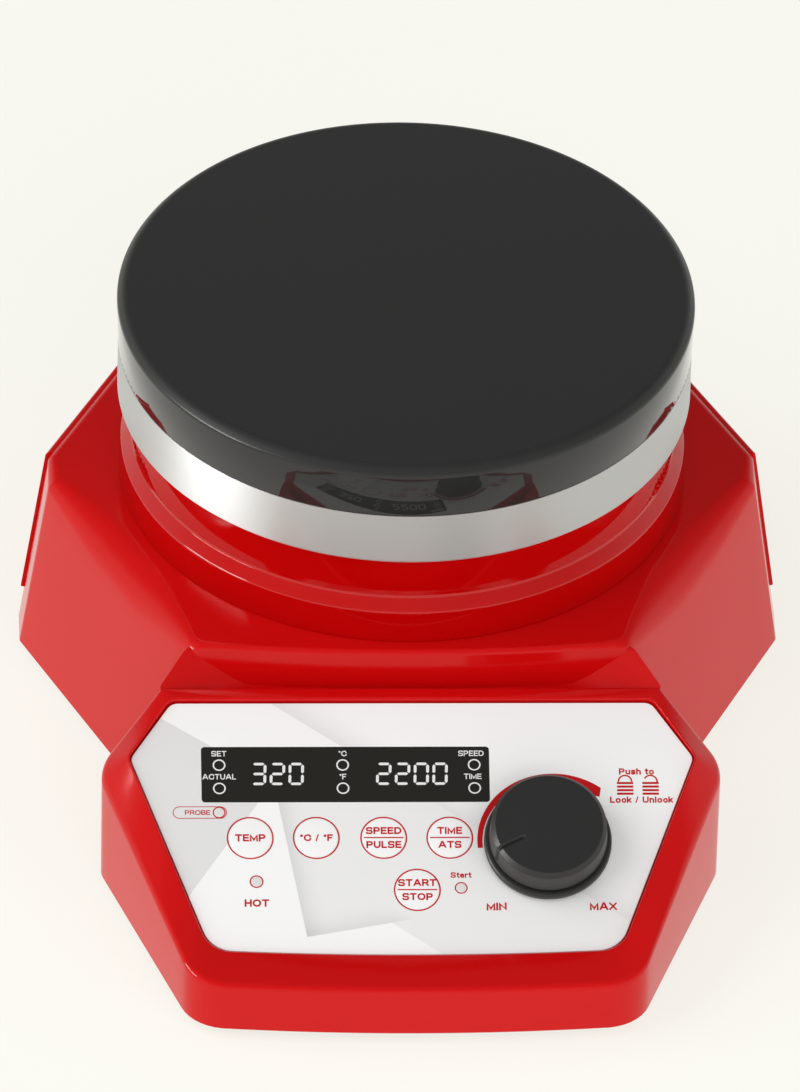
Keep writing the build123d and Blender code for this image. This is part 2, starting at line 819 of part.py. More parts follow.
def make_filter_capacitors():
    return [bar(6.0, 9.6, 26.0, -40.0, -12.0), bar(6.0, 9.6, 26.0, -40.0, -26.0)]


def make_heat_sink():
    """Finned heat sink with the heater's power switch clamped to its back."""
    sink = block(-66, -63, -30, 0, 9.6, 32)
    for i in range(6):
        sink += block(-63.1, -55, -30 + 5.6 * i, -28.4 + 5.6 * i, 12.0, 32)
    return [sink, block(-70.5, -66, -20, -10, 12, 27)]


def make_panel_ribbon():
    """Flat cable from the control board's rear edge down and back to the power board."""
    start = on_panel(0, 22, board_top - board_t)
    low, high = 10.6, 11.5
    run = [
        (start[1] - 3.0, start[2] - 3.0),
        (start[1] + 2.0, start[2] - 1.2),
        (-60.0, high + 2.0),
        (-52.0, high),
        (-32.0, high),
        (-32.0, 9.6),
        (-36.0, 9.6),
        (-36.0, low),
        (-52.4, low),
        (-60.6, high + 1.0),
        (start[1] + 1.8, start[2] - 2.4),
        (start[1] - 2.6, start[2] - 4.2),
    ]
    face = make_face(Polyline(*[(-48, y, z) for y, z in run], close=True))
    return extrude(face, amount=9.0, dir=(1, 0, 0))


# ---------------------------------------------------------------- rear fittings


def make_mains_inlet():
    """Three-pin appliance inlet: flange, body, and a chamber for the fuse drawer below it."""
    face_y = rear_panel_y + rear_panel_t
    flange = block(inlet_x - 16, inlet_x + 16, face_y, face_y + 2.0, inlet_z - 14, inlet_z + 12)
    body = block(inlet_x - 13.8, inlet_x + 13.8, 44, face_y + 0.1, inlet_z - 11.8, inlet_z + 9.8)
    cavity = block(inlet_x - 12.2, inlet_x + 12.2, 48, 80, inlet_z - 4.6, inlet_z + 8.6)
    drawer = block(inlet_x - 9.2, inlet_x + 9.2, 46, 80, inlet_z - 11.0, inlet_z - 6.4)
    inlet = flange + body - cavity - drawer
    for x0, x1, z0, z1 in pin_sections():
        inlet -= block(x0, x1, 40, 60, z0, z1)
    return inlet


def pin_sections():
    """The three blades' sides and heights: live, earth and neutral."""
    places = [(-7.0, 0.0), (0.0, 4.0), (7.0, 0.0)]
    return [(inlet_x + x - 1, inlet_x + x + 1, inlet_z + z - 2, inlet_z + z + 2) for x, z in places]


def make_inlet_pins():
    return [block(x0, x1, 40, 60.5, z0, z1) for x0, x1, z0, z1 in pin_sections()]


def make_fuse_drawer():
    front = rear_panel_y + rear_panel_t + 2.0
    drawer = block(inlet_x - 9.0, inlet_x + 9.0, 46.5, front, inlet_z - 10.8, inlet_z - 6.6)
    drawer -= block(inlet_x - 7.5, inlet_x + 7.5, 48.5, 60.0, inlet_z - 9.8, inlet_z - 6.0)
    drawer += block(inlet_x - 4.0, inlet_x + 4.0, front - 0.1, front + 1.0, inlet_z - 7.8, inlet_z - 6.9)
    return drawer


def make_power_switch():
    face_y = rear_panel_y + rear_panel_t
    frame = block(switch_x - 7.5, switch_x + 7.5, face_y, face_y + 1.6, switch_z - 10.7, switch_z + 10.7)
    frame += block(switch_x - 6.3, switch_x + 6.3, 48, face_y + 0.1, switch_z - 9.5, switch_z + 9.5)
    return frame - block(switch_x - 5.3, switch_x + 5.3, 52, 80, switch_z - 8.7, switch_z + 8.7)


def make_power_rocker():
    """Rocker with two slanted halves, turned about a level axis and resting at off."""
    profile = [(0, 8.0), (3.6, 7.6), (2.2, 0.0), (3.6, -7.6), (0, -8.0), (-5.0, -4.0), (-5.0, 4.0)]
    face = make_face(Polyline(*[(0, y, z) for y, z in profile], close=True))
    rocker = Pos(-5.1, 0, 0) * extrude(face, amount=10.2, dir=(1, 0, 0))
    return Pos(switch_x, rear_panel_y + rear_panel_t, switch_z) * Rot(rocker_rest, 0, 0) * rocker


def make_probe_socket():
    face_y = rear_panel_y + rear_panel_t
    body = Cylinder(6.0, 2.0, align=(Align.CENTER, Align.CENTER, Align.MIN))
    body += Pos(0, 0, -16) * Cylinder(3.95, 16.1, align=(Align.CENTER, Align.CENTER, Align.MIN))
    body -= Pos(0, 0, -14) * Cylinder(jack_bore_r, 20, align=(Align.CENTER, Align.CENTER, Align.MIN))
    return Pos(jack_x, face_y, jack_z) * Rot(-90, 0, 0) * body


def make_rod_insert():
    insert = bar(rod_insert_r, rod_low_z, deck_z, *rod_place)
    insert += bar(rod_insert_r + 1.0, deck_z, deck_z + 0.8, *rod_place)
    return insert - bar(rod_thread_r, rod_low_z + 1.5, 60.0, *rod_place)


# ---------------------------------------------------------------- writing


def place(piece):
    """Lift a piece onto the feet and move it so that the footprint is centred on the origin."""
    low_y = rim_front[1] - rim_bulge
    high_y = base_corner[1] + end_bulge
    return Pos(0, -(low_y + high_y) / 2, foot_height) * piece


def write(name, made):
    pieces = made if isinstance(made, list) else [made]
    solids = [solid for piece in pieces for solid in place(piece).solids()]
    whole = solids[0] if len(solids) == 1 else Compound(solids)
    export_step(whole, f"parts/{name}.step")


nodes = {
    "upper_housing": make_upper_housing,
    "rear_cover": make_rear_cover,
    "rear_panel": make_rear_panel,
    "rear_panel_screws": make_rear_screws,
    "base_plate": make_base_plate,
    "base_screws": make_base_screws,
    "rubber_feet": make_rubber_feet,
    "neck_collar": make_neck_collar,
    "head_standoffs": make_head_standoffs,
    "heat_shield": make_heat_shield,
    "trim_ring": make_trim_ring,
    "insulation_disc": make_insulation_disc,
    "element_clamp": make_element_clamp,
    "heating_element": make_heating_element,
    "heating_plate": make_heating_plate,
    "head_bolts": make_head_bolts,
    "plate_sensor": make_plate_sensor,
    "heater_leads": make_heater_leads,
    "motor_can": make_motor_can,
    "motor_end_bell": make_motor_end_bell,
    "motor_stator": make_motor_stator,
    "motor_bearings": make_motor_bearings,
    "motor_bracket": make_motor_bracket,
    "drive_screws": make_drive_screws,
    "motor_shaft": make_motor_shaft,
    "motor_rotor": make_motor_rotor,
    "cooling_fan": make_cooling_fan,
    "magnet_carrier": make_magnet_carrier,
    "drive_magnets": make_drive_magnets,
    "panel_overlay": make_panel_overlay,
    "display_window": make_display_window,
    "display_module": make_display_module,
    "indicator_lamps": make_indicator_lamps,
    "key_switches": make_key_switches,
    "control_board": make_control_board,
    "board_screws": make_board_screws,
    "encoder_body": make_encoder_body,
    "encoder_fixings": make_encoder_fixings,
    "encoder_wheel": make_encoder_wheel,
    "encoder_shaft": make_encoder_shaft,
    "knob_skirt": make_knob_skirt,
    "knob_cap": make_knob_cap,
    "power_board": make_power_board,
    "board_spacers": make_board_spacers,
    "transformer": make_transformer,
    "filter_capacitors": make_filter_capacitors,
    "heat_sink": make_heat_sink,
    "panel_ribbon": make_panel_ribbon,
    "mains_inlet": make_mains_inlet,
    "inlet_pins": make_inlet_pins,
    "power_switch": make_power_switch,
    "power_rocker": make_power_rocker,
    "fuse_drawer": make_fuse_drawer,
    "probe_socket": make_probe_socket,
    "rod_insert": make_rod_insert,
}

for node, make in nodes.items():
    write(node, make())
for node, spot in key_places.items():
    write(node, make_key(spot))
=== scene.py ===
import json
import math

import bmesh
import bpy
import numpy as np
from mathutils import Matrix, Vector

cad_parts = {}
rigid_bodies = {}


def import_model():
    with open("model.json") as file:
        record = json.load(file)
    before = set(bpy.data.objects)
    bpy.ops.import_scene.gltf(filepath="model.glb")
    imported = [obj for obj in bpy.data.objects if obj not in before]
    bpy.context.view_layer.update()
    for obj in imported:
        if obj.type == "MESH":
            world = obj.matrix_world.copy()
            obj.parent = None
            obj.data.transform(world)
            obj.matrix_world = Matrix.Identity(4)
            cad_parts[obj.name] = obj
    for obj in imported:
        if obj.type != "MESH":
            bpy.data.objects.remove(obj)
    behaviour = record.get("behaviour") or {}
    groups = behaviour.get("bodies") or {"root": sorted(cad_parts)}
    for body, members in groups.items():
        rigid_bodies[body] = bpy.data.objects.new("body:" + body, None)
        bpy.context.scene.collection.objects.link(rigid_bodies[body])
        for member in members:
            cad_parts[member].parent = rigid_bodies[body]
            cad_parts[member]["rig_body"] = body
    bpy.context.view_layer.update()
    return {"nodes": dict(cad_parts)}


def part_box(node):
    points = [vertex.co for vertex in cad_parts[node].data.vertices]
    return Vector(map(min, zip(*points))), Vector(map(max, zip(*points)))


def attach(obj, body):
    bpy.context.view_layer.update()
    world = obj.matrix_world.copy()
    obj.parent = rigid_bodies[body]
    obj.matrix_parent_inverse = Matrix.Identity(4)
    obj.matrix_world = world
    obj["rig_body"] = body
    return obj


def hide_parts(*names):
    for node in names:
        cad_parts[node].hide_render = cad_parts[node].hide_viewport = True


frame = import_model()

# ---------------------------------------------------------------- sizes
# Shapes are worked out in millimetres about the plate's axis, with the housing's lower edge at z = 0.
# to_row() then puts them in the row's frame, in metres.

plate_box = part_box("heating_plate")
AXIS_Y = (plate_box[0].y + plate_box[1].y) * 500
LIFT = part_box("base_plate")[0].z * 1000

DECK_Z = 48.5
BASE_SIDE_X = 89.2
DECK_SIDE_X = 82.6
BASE_CORNER = (55.5, 74.7)
DECK_CORNER = (50.7, 67.0)
SIDE_HALF = 5.0
END_BULGE = 2.8
# Radius of the deck's edge at places from front to back: (y, radius)
EDGE_RADII = [
    (-67.5, 1.2), (-66.0, 2.4), (-60.0, 4.5), (-45.0, 8.0), (-25.0, 7.5), (-8.0, 4.0), (2.0, 2.0), (80.0, 2.0),
]
UPRIGHT_R = 2.6
WALL = 2.5
DECK_OPENING_R = 50.0

TILT = math.radians(25.0)
PANEL_CENTRE = np.array([0.0, -108.0, 27.2])
PANEL_CORNERS = [(55.75, 32.0), (65.4, 17.6), (47.2, -32.0)]
PANEL_RADII = [3.0, 2.5, 7.5]
PANEL_BULGE = 1.0
RIM_RISE = 1.2
RIM_CORNERS = [(58.0, -75.0, 42.5), (73.0, -88.7, 28.9), (51.2, -149.0, 13.2)]
RIM_RADII = [1.5, 8.0, 11.5]
RIM_BULGE = 1.8
RIM_SOFT_R = 1.6
FILM_T = 1.0
FLOOR_W = -3.5
GROOVE_Z = 38.8

WINDOW_HALF_X = 43.0
WINDOW_LOW_Z = 9.0
WINDOW_HIGH_Z = 38.0
COVER_PROUD = 1.2
COVER_FRONT_Y = 6.5
COVER_LOW_Z = 7.6
COVER_HIGH_Z = 47.6
REAR_Y = 55.0

# Places on the panel, in millimetres across and up from its centre
DISPLAY = (-48.9, 17.9, 6.3, 20.6)
KEYS = {
    "key_temperature": (-37.8, -2.9, ["TEMP"]),
    "key_units": (-22.5, -2.9, ["°C / °F"]),
    "key_speed": (-6.9, -2.9, ["SPEED", "PULSE"]),
    "key_time": (8.4, -2.9, ["TIME", "ATS"]),
    "key_start": (0.65, -16.3, ["START", "STOP"]),
}
KEY_R = 5.0
WINDOW_LAMPS = [(u, v) for u in (-44.75, -16.1, 14.4) for v in (15.9, 9.9)]
PROBE_LAMP, START_LAMP, HOT_LAMP = (-44.9, 3.7), (10.8, -15.8), (-36.5, -14.1)
KNOB = (31.0, -4.7)
POINTER = math.radians(207.0)

NECK_R = 63.5
LEDGE_R = 66.5
HEAD_Z = 72.0
TRIM_R = 67.0
PLATE_LOW_Z = 86.2
PLATE_TOP_Z = 100.0
PLATE_R = 67.5
POLE_R = 0.02


# ---------------------------------------------------------------- mesh helpers


def to_row(points):
    """Millimetres about the plate's axis to metres in the row's frame."""
    return (np.asarray(points, float) + (0.0, AXIS_Y, LIFT)) * 0.001


def on_panel(points):
    """Places across, up and above the panel (u, v, w) to millimetres about the plate's axis:
    centre + u * X + v * (0, cos tilt, sin tilt) + w * (0, -sin tilt, cos tilt)."""
    u, v, w = np.moveaxis(np.asarray(points, float), -1, 0)
    y = v * math.cos(TILT) - w * math.sin(TILT)
    z = v * math.sin(TILT) + w * math.cos(TILT)
    return np.stack([u, y, z], -1) + PANEL_CENTRE


def link(name, data):
    """An object in the scene with the mesh, light or camera given."""
    thing = bpy.data.objects.new(name, data)
    bpy.context.scene.collection.objects.link(thing)
    return thing


def make_piece(name, shape, slot, body="stirrer", node=None, material=None, sharp=30.0):
    """A mesh object in the row's frame, smooth except at edges sharper than the angle given.

    shape holds points and faces. The piece has its slot's material unless one is given.
    """
    points, faces = shape
    mesh = bpy.data.meshes.new(name)
    mesh.from_pydata(to_row(points).tolist(), [], faces)
    mesh.validate()
    mesh.update()
    mesh.shade_smooth()
    mesh.set_sharp_from_angle(angle=math.radians(sharp))
    piece = link(name, mesh)
    mesh.materials.append(material or MATERIALS[slot])
    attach(piece, body)
    if node:
        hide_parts(node)
    return piece


def outward(points, faces):
    """Points and faces, with the faces turned round if they enclose a negative volume."""
    volume = 0.0
    for face in faces:
        corner = points[list(face)]
        fan = np.cross(corner[1:-1], corner[2:])
        volume += np.einsum("ij,ij->", fan, np.repeat(corner[:1], len(corner) - 2, 0))
    return points, [face[::-1] for face in faces] if volume < 0 else faces


def grid_faces(rows, columns, closed_rows=False, skip=None):
    """Quads of a grid that is closed across its columns; those marked in skip are left open."""
    keep = np.ones((rows if closed_rows else rows - 1, columns), bool) if skip is None else ~skip
    row, column = np.nonzero(keep)
    up, across = (row + 1) % rows, (column + 1) % columns
    quads = [row * columns + column, row * columns + across, up * columns + across, up * columns + column]
    return np.stack(quads, -1).tolist()


def shell_from_grid(grid, closed_rows=False):
    """Points and outward faces of a grid of rings. Unless its rows close on themselves, the first
    and the last ring each get a flat cap."""
    rows, columns = grid.shape[:2]
    faces = grid_faces(rows, columns, closed_rows)
    if not closed_rows:
        faces.append(list(range(columns))[::-1])
        faces.append(list(range((rows - 1) * columns, rows * columns)))
    return outward(grid.reshape(-1, 3), faces)


def joined(parts):
    """Several point-and-face sets as one."""
    points, faces, start = [], [], 0
    for some_points, some_faces in parts:
        points.append(np.asarray(some_points, float).reshape(-1, 3))
        faces += [[index + start for index in face] for face in some_faces]
        start += len(points[-1])
    return np.concatenate(points), faces


def corner_arc(before, corner, after, radius, steps):
    """Arc tangent to both sides of a corner, as steps + 1 points, or the bare corner if it has no
    radius or hardly turns."""
    back, ahead = before - corner, after - corner
    back, ahead = back / np.linalg.norm(back), ahead / np.linalg.norm(ahead)
    half_turn = (math.pi - math.acos(np.clip(back @ ahead, -1, 1))) / 2
    if radius == 0 or half_turn < 1e-3:
        return corner[None]
    reach = radius * math.tan(half_turn)
    start, end = corner + back * reach, corner + ahead * reach
    centre = corner + (back + ahead) / np.linalg.norm(back + ahead) * radius / math.cos(half_turn)
    t = np.linspace(0, 1, steps + 1)[:, None]
    near, far = np.sin((1 - t) * 2 * half_turn), np.sin(t * 2 * half_turn)
    return centre + ((start - centre) * near + (end - centre) * far) / math.sin(2 * half_turn)


def rounded_profile(corners, steps=6):
    """Polyline with each corner (a, b, radius) replaced by an arc tangent to both its sides."""
    places = np.array([corner[:2] for corner in corners], float)
    out = [places[:1]]
    for i in range(1, len(places) - 1):
        radius = corners[i][2] if len(corners[i]) > 2 else 0.0
        out.append(corner_arc(places[i - 1], places[i], places[i + 1], radius, steps))
    return np.concatenate(out + [places[-1:]])


def turned(profile, segments, centre=(0.0, 0.0)):
    """Surface of revolution: each profile point (radius, height) swept round a vertical axis."""
    angle = np.linspace(0, 2 * np.pi, segments, endpoint=False)
    radius, height = profile[:, 0][:, None], profile[:, 1][:, None]
    x = centre[0] + radius * np.cos(angle)
    y = centre[1] + radius * np.sin(angle)
    return np.stack([x, y, np.broadcast_to(height, x.shape)], -1)


def turned_solid(corners, segments=192):
    """Closed turned piece whose profile starts and ends on the axis or on itself."""
    profile = rounded_profile(corners)
    if np.linalg.norm(profile[0] - profile[-1]) < 1e-6:
        return shell_from_grid(turned(profile[:-1], segments), closed_rows=True)
    profile[[0, -1], 0] = np.maximum(profile[[0, -1], 0], POLE_R)
    return shell_from_grid(turned(profile, segments))


def ring_of(corners, radii, arc_steps, edges, bows):
    """Closed ring of points round a polygon in space.

    Each corner is an arc of its radius, and each edge runs straight to the next corner plus a
    parabola bow * 4t(1 - t). edges holds every edge's values of t between its two arcs, or a
    function that gives them from the edge's two ends.
    """
    corners = np.asarray(corners, float)
    count = len(corners)
    after = np.roll(corners, -1, 0)
    arcs = [corner_arc(corners[i - 1], corners[i], after[i], radii[i], arc_steps) for i in range(count)]
    ring = []
    for i in range(count):
        start, end = arcs[i][-1], arcs[(i + 1) % count][0]
        t = np.asarray(edges[i](start, end) if callable(edges[i]) else edges[i], float)[:, None]
        bow = np.asarray(bows.get(i, (0, 0, 0)), float)
        ring += [arcs[i], start * (1 - t) + end * t + bow * 4 * t * (1 - t)]
    return np.concatenate(ring)


# ---------------------------------------------------------------- the housing's surfaces


def window_stations(start, end):
    """Values of t along the rear edge, with one at each side of the rear window."""
    sides = [(start[0] - x) / (start[0] - end[0]) for x in (WINDOW_HALF_X, -WINDOW_HALF_X)]
    return np.concatenate([
        np.linspace(0, sides[0], 6)[1:],
        np.linspace(sides[0], sides[1], 21)[1:],
        np.linspace(sides[1], 1, 6)[1:-1],
    ])


def inner_stations(count):
    """Values of t for a straight edge cut into count - 1 equal lengths, without its ends."""
    return np.linspace(0, 1, count)[1:-1]


def body_ring(inset, z):
    """Ring round the six-sided drafted body at height z, drawn in from the skin by inset.

    The skin's width and depth shrink in step with z, so its walls lean inwards.
    """
    share = z / DECK_Z
    side_x = BASE_SIDE_X + (DECK_SIDE_X - BASE_SIDE_X) * share - inset
    corner_x = BASE_CORNER[0] + (DECK_CORNER[0] - BASE_CORNER[0]) * share - 0.61 * inset
    corner_y = BASE_CORNER[1] + (DECK_CORNER[1] - BASE_CORNER[1]) * share - inset
    half = SIDE_HALF - 0.24 * inset
    right = [(side_x, -half, z), (side_x, half, z), (corner_x, corner_y, z)]
    left = [(-corner_x, corner_y, z), (-side_x, half, z), (-side_x, -half, z)]
    front = [(-corner_x, -corner_y, z), (corner_x, -corner_y, z)]
    short, long, widest = inner_stations(6), inner_stations(12), inner_stations(24)
    edges = [short, long, window_stations, long, short, long, widest, long]
    bows = {2: (0, END_BULGE, 0), 6: (0, -END_BULGE, 0)}
    radii = [UPRIGHT_R, UPRIGHT_R, UPRIGHT_R + 1, UPRIGHT_R + 1] * 2
    return ring_of(right + left + front, radii, 5, edges, bows)


def edge_radius(ring):
    """Radius of the deck's edge at each station: broad along the front diagonals, small elsewhere."""
    return np.interp(ring[:, 1], *np.transpose(EDGE_RADII))


def edge_ring(angle):
    """Ring on the deck's rounded edge: inset r(1 - cos a) and height deck - r(1 - sin a), with r
    varying from station to station."""
    radius = edge_radius(body_ring(0, DECK_Z)).round(3)
    across, down = 1 - math.cos(angle), 1 - math.sin(angle)
    rings = {r: body_ring(r * across, DECK_Z - r * down) for r in np.unique(radius)}
    return np.array([rings[r][i] for i, r in enumerate(radius)])


def circle_like(ring, radius, z):
    """Circle with one point for each of the ring's points, at the same bearing."""
    bearing = np.arctan2(ring[:, 1], ring[:, 0])
    return np.stack([radius * np.cos(bearing), radius * np.sin(bearing), np.full(len(ring), z)], -1)


def wall_heights(top):
    """Heights of the wall's rows, with one at each edge of the rear window."""
    return np.concatenate([[WINDOW_LOW_Z], np.linspace(WINDOW_LOW_Z, WINDOW_HIGH_Z, 7)[1:], [top]])


def body_shell():
    """The six-sided body as one closed surface: up the outer wall, over a rounded edge, across the
    deck to its round opening, back under the deck and down the inner wall, with the rear window cut."""
    edge_angles = np.radians(np.linspace(0, 90, 13))
    outer = [body_ring(0.5, 0.0), body_ring(0.0, 0.5)]
    outer += [body_ring(0, z) for z in wall_heights(DECK_Z)[:-1]]
    outer += [edge_ring(angle) for angle in edge_angles]
    deck_ring = outer[-1]
    for share in (0.02, 0.35, 0.7):
        outer.append(deck_ring * (1 - share) + circle_like(deck_ring, DECK_OPENING_R, DECK_Z) * share)
    outer.append(circle_like(deck_ring, DECK_OPENING_R, DECK_Z))
    inner = [circle_like(deck_ring, DECK_OPENING_R, DECK_Z - WALL), body_ring(WALL + 2, DECK_Z - WALL)]
    inner += [body_ring(WALL, z) for z in wall_heights(DECK_Z - WALL - 2)[::-1]]
    inner.append(body_ring(WALL, 0.0))
    grid = np.stack(outer + inner)
    rows, columns = grid.shape[:2]
    height, beside = grid[:, 0, 2], np.abs(grid[:, :, 0])
    low, high = np.minimum(height, np.roll(height, -1)), np.maximum(height, np.roll(height, -1))
    in_rows = (low > WINDOW_LOW_Z - 0.1) & (high < WINDOW_HIGH_Z + 0.1)
    in_columns = (np.maximum(beside, np.roll(beside, -1, 1)) < WINDOW_HALF_X + 0.1) & (grid[:, :, 1] > REAR_Y)
    skip = in_rows[:, None] & in_columns
    faces = grid_faces(rows, columns, True, skip) + window_jambs(skip, columns)
    return outward(grid.reshape(-1, 3), faces)


def window_jambs(skip, columns):
    """Strips that join the outer wall's opening to the inner wall's, all round the rear window."""
    open_rows = np.flatnonzero(skip.any(1))
    split = np.flatnonzero(np.diff(open_rows) > 1)[0] + 1
    outer_rows = list(open_rows[:split]) + [open_rows[split - 1] + 1]
    inner_rows = (list(open_rows[split:]) + [open_rows[-1] + 1])[::-1]
    open_columns = np.flatnonzero(skip.any(0))
    first, last = open_columns[0], open_columns[-1] + 1
    faces = []
    for c in open_columns:
        low_o, low_i = outer_rows[0] * columns, inner_rows[0] * columns
        high_o, high_i = outer_rows[-1] * columns, inner_rows[-1] * columns
        faces.append([low_o + c, low_o + c + 1, low_i + c + 1, low_i + c])
        faces.append([high_o + c + 1, high_o + c, high_i + c, high_i + c + 1])
    for a, b, i, j in zip(outer_rows, outer_rows[1:], inner_rows, inner_rows[1:]):
        faces.append([b * columns + first, a * columns + first, i * columns + first, j * columns + first])
        faces.append([a * columns + last, b * columns + last, j * columns + last, i * columns + last])
    return [[int(index) for index in face] for face in faces]


def six_corner_ring(right, radii, bow):
    """Ring of a shape with a back, a side and a front corner on each side, from the back's left."""
    left = [(-x, y, z) for x, y, z in right]
    short, long, widest = inner_stations(6), inner_stations(14), inner_stations(24)
    edges = [short, long, widest, long, short, widest]
    return ring_of(left + right[::-1], list(radii) + list(radii[::-1]), 8, edges, {2: bow})


def panel_ring(grow, w):
    """The panel's outline, grown outwards, at a height above the panel."""
    moves = [(0.8, 1.0), (1.0, 0.0), (0.8, -1.0)]
    right = [(u + grow * a, v + grow * b, w) for (u, v), (a, b) in zip(PANEL_CORNERS, moves)]
    return on_panel(six_corner_ring(right, PANEL_RADII, (0, -PANEL_BULGE, 0)))


def rim_ring(inset, drop, z=None):
    """The console's outer crease, drawn in and lowered, or flattened at a height."""
    moves = [(-inset, -inset), (-inset, 0.3 * inset), (-0.8 * inset, inset)]
    right = []
    for (x, y, height), (dx, dy) in zip(RIM_CORNERS, moves):
        right.append((x + dx, y + dy, height - drop if z is None else z))
    return six_corner_ring(right, RIM_RADII, (0, -RIM_BULGE, 0))


def bend(a, b, c, steps):
    """Rows of a quadratic curve from ring a towards ring b and away to ring c."""
    t = np.linspace(0, 1, steps)[:, None, None]
    return list((1 - t) ** 2 * a + 2 * t * (1 - t) * b + t**2 * c)


def towards(a, b, distance):
    """Ring a moved towards ring b by a distance."""
    step = b - a
    return a + step / np.linalg.norm(step, axis=1, keepdims=True) * distance


def console_shell():
    """The console: upright wall, soft crease, sloping rim, small lip round the panel's recess and
    the recess's floor, doubled by an inner skin so that the shell is hollow."""
    foot, crease, top = rim_ring(0, 0, 0.0), rim_ring(0, 0), panel_ring(0.4, RIM_RISE)
    lip = panel_ring(0.25, -FILM_T)
    rows = [panel_ring(-12, -FILM_T), lip]
    rows += bend(towards(top, lip, 0.7), top, towards(top, crease, 0.7), 5)
    rows += bend(towards(crease, top, RIM_SOFT_R), crease, towards(crease, foot, RIM_SOFT_R), 9)
    rows += [rim_ring(0, 0, 0.5), rim_ring(0.5, 0, 0.0), rim_ring(WALL, 0, 0.0)]
    rows += [rim_ring(WALL, WALL), panel_ring(-1.6, FLOOR_W), panel_ring(-12, FLOOR_W)]
    return shell_from_grid(np.stack(rows))


def bridge_shell():
    """Block between the deck's front edge and the console's back rim.

    Its top is a heightfield: a level groove in the middle that climbs, at each end, along a slanted
    facet. The facet is the plane through the rim's corner, the deck's corner and the groove's end,
    and the change from groove to facet is blended over a millimetre.
    """
    t = np.linspace(0, 1, 29)[:, None]
    ends, middle = np.linspace(0.78, 1, 14), np.linspace(-0.78, 0.78, 21)[1:-1]
    s = np.concatenate([-ends[::-1], middle, ends])[None, :]
    y = -66.0 - 10.2 * t
    outer_x = np.interp(-y, [66.0, 67.0, 75.0, 76.2], [51.4, 52.2, 58.1, 58.0])
    x = s * outer_x
    facet = 42.5 + (34.5 * (np.abs(x) - 58.1) + 70.8 * (y + 75.0)) / 79.1
    facet = np.minimum(facet, DECK_Z - 1.6)
    sharp = 0.8
    z = GROOVE_Z + np.logaddexp(0.0, (facet - GROOVE_Z) / sharp * 2.0) * sharp / 2.0
    z = np.minimum(z, DECK_Z - 1.5)
    top = np.stack([x, np.broadcast_to(y, x.shape), z], -1)
    bottom = top * (1, 1, 0) + (0, 0, 4.0)
    ring = np.concatenate([top, bottom[:, ::-1]], 1)
    return shell_from_grid(ring)


def cover_shell():
    """The rear cover: a band a little proud of the body's rear half, with softened edges.

    Each station of the body's outline carries the band's closed profile. Over the rear window the
    profile starts above the window, and the two end stations are moved to the band's front edge.
    """
    rows = []
    for low in (COVER_LOW_Z, WINDOW_HIGH_Z + 2.8):
        corners = [(1.0, low), (-COVER_PROUD, low, 0.5), (-COVER_PROUD, COVER_HIGH_Z, 0.7), (1.0, COVER_HIGH_Z)]
        rows.append(np.stack([body_ring(inset, z) for inset, z in rounded_profile(corners, 4)]))
    full, short = rows
    over = (np.abs(full[0, :, 0]) < WINDOW_HALF_X + 5.5) & (full[0, :, 1] > REAR_Y)
    grid = np.where(over[None, :, None], short, full)
    kept = np.flatnonzero(full[0, :, 1] > COVER_FRONT_Y)
    kept = np.concatenate([[kept[0] - 1], kept, [kept[-1] + 1]])
    band = grid[:, kept].copy()
    for end, beside in ((0, 1), (-1, -2)):
        share = (COVER_FRONT_Y - band[:, end, 1]) / (band[:, beside, 1] - band[:, end, 1])
        band[:, end] += (band[:, beside] - band[:, end]) * share[:, None]
    return shell_from_grid(np.swapaxes(band, 0, 1))


def window_frame():
    """Rectangular tube behind the rear window that carries the rear panel."""
    rings = []
    for grow, y in ((-0.1, 65.0), (-0.1, 69.6), (2.4, 69.6), (2.4, 65.0)):
        x, low, high = WINDOW_HALF_X + grow, WINDOW_LOW_Z - grow, WINDOW_HIGH_Z + grow
        rings.append([(x, y, low), (x, y, high), (-x, y, high), (-x, y, low)])
    return shell_from_grid(np.array(rings), closed_rows=True)


# ---------------------------------------------------------------- shader helpers


def linear(red, green, blue):
    """Display colour, 0 to 255, as linear values."""
    shares = (red / 255, green / 255, blue / 255)
    return [c / 12.92 if c <= 0.04045 else ((c + 0.055) / 1.055) ** 2.4 for c in shares]


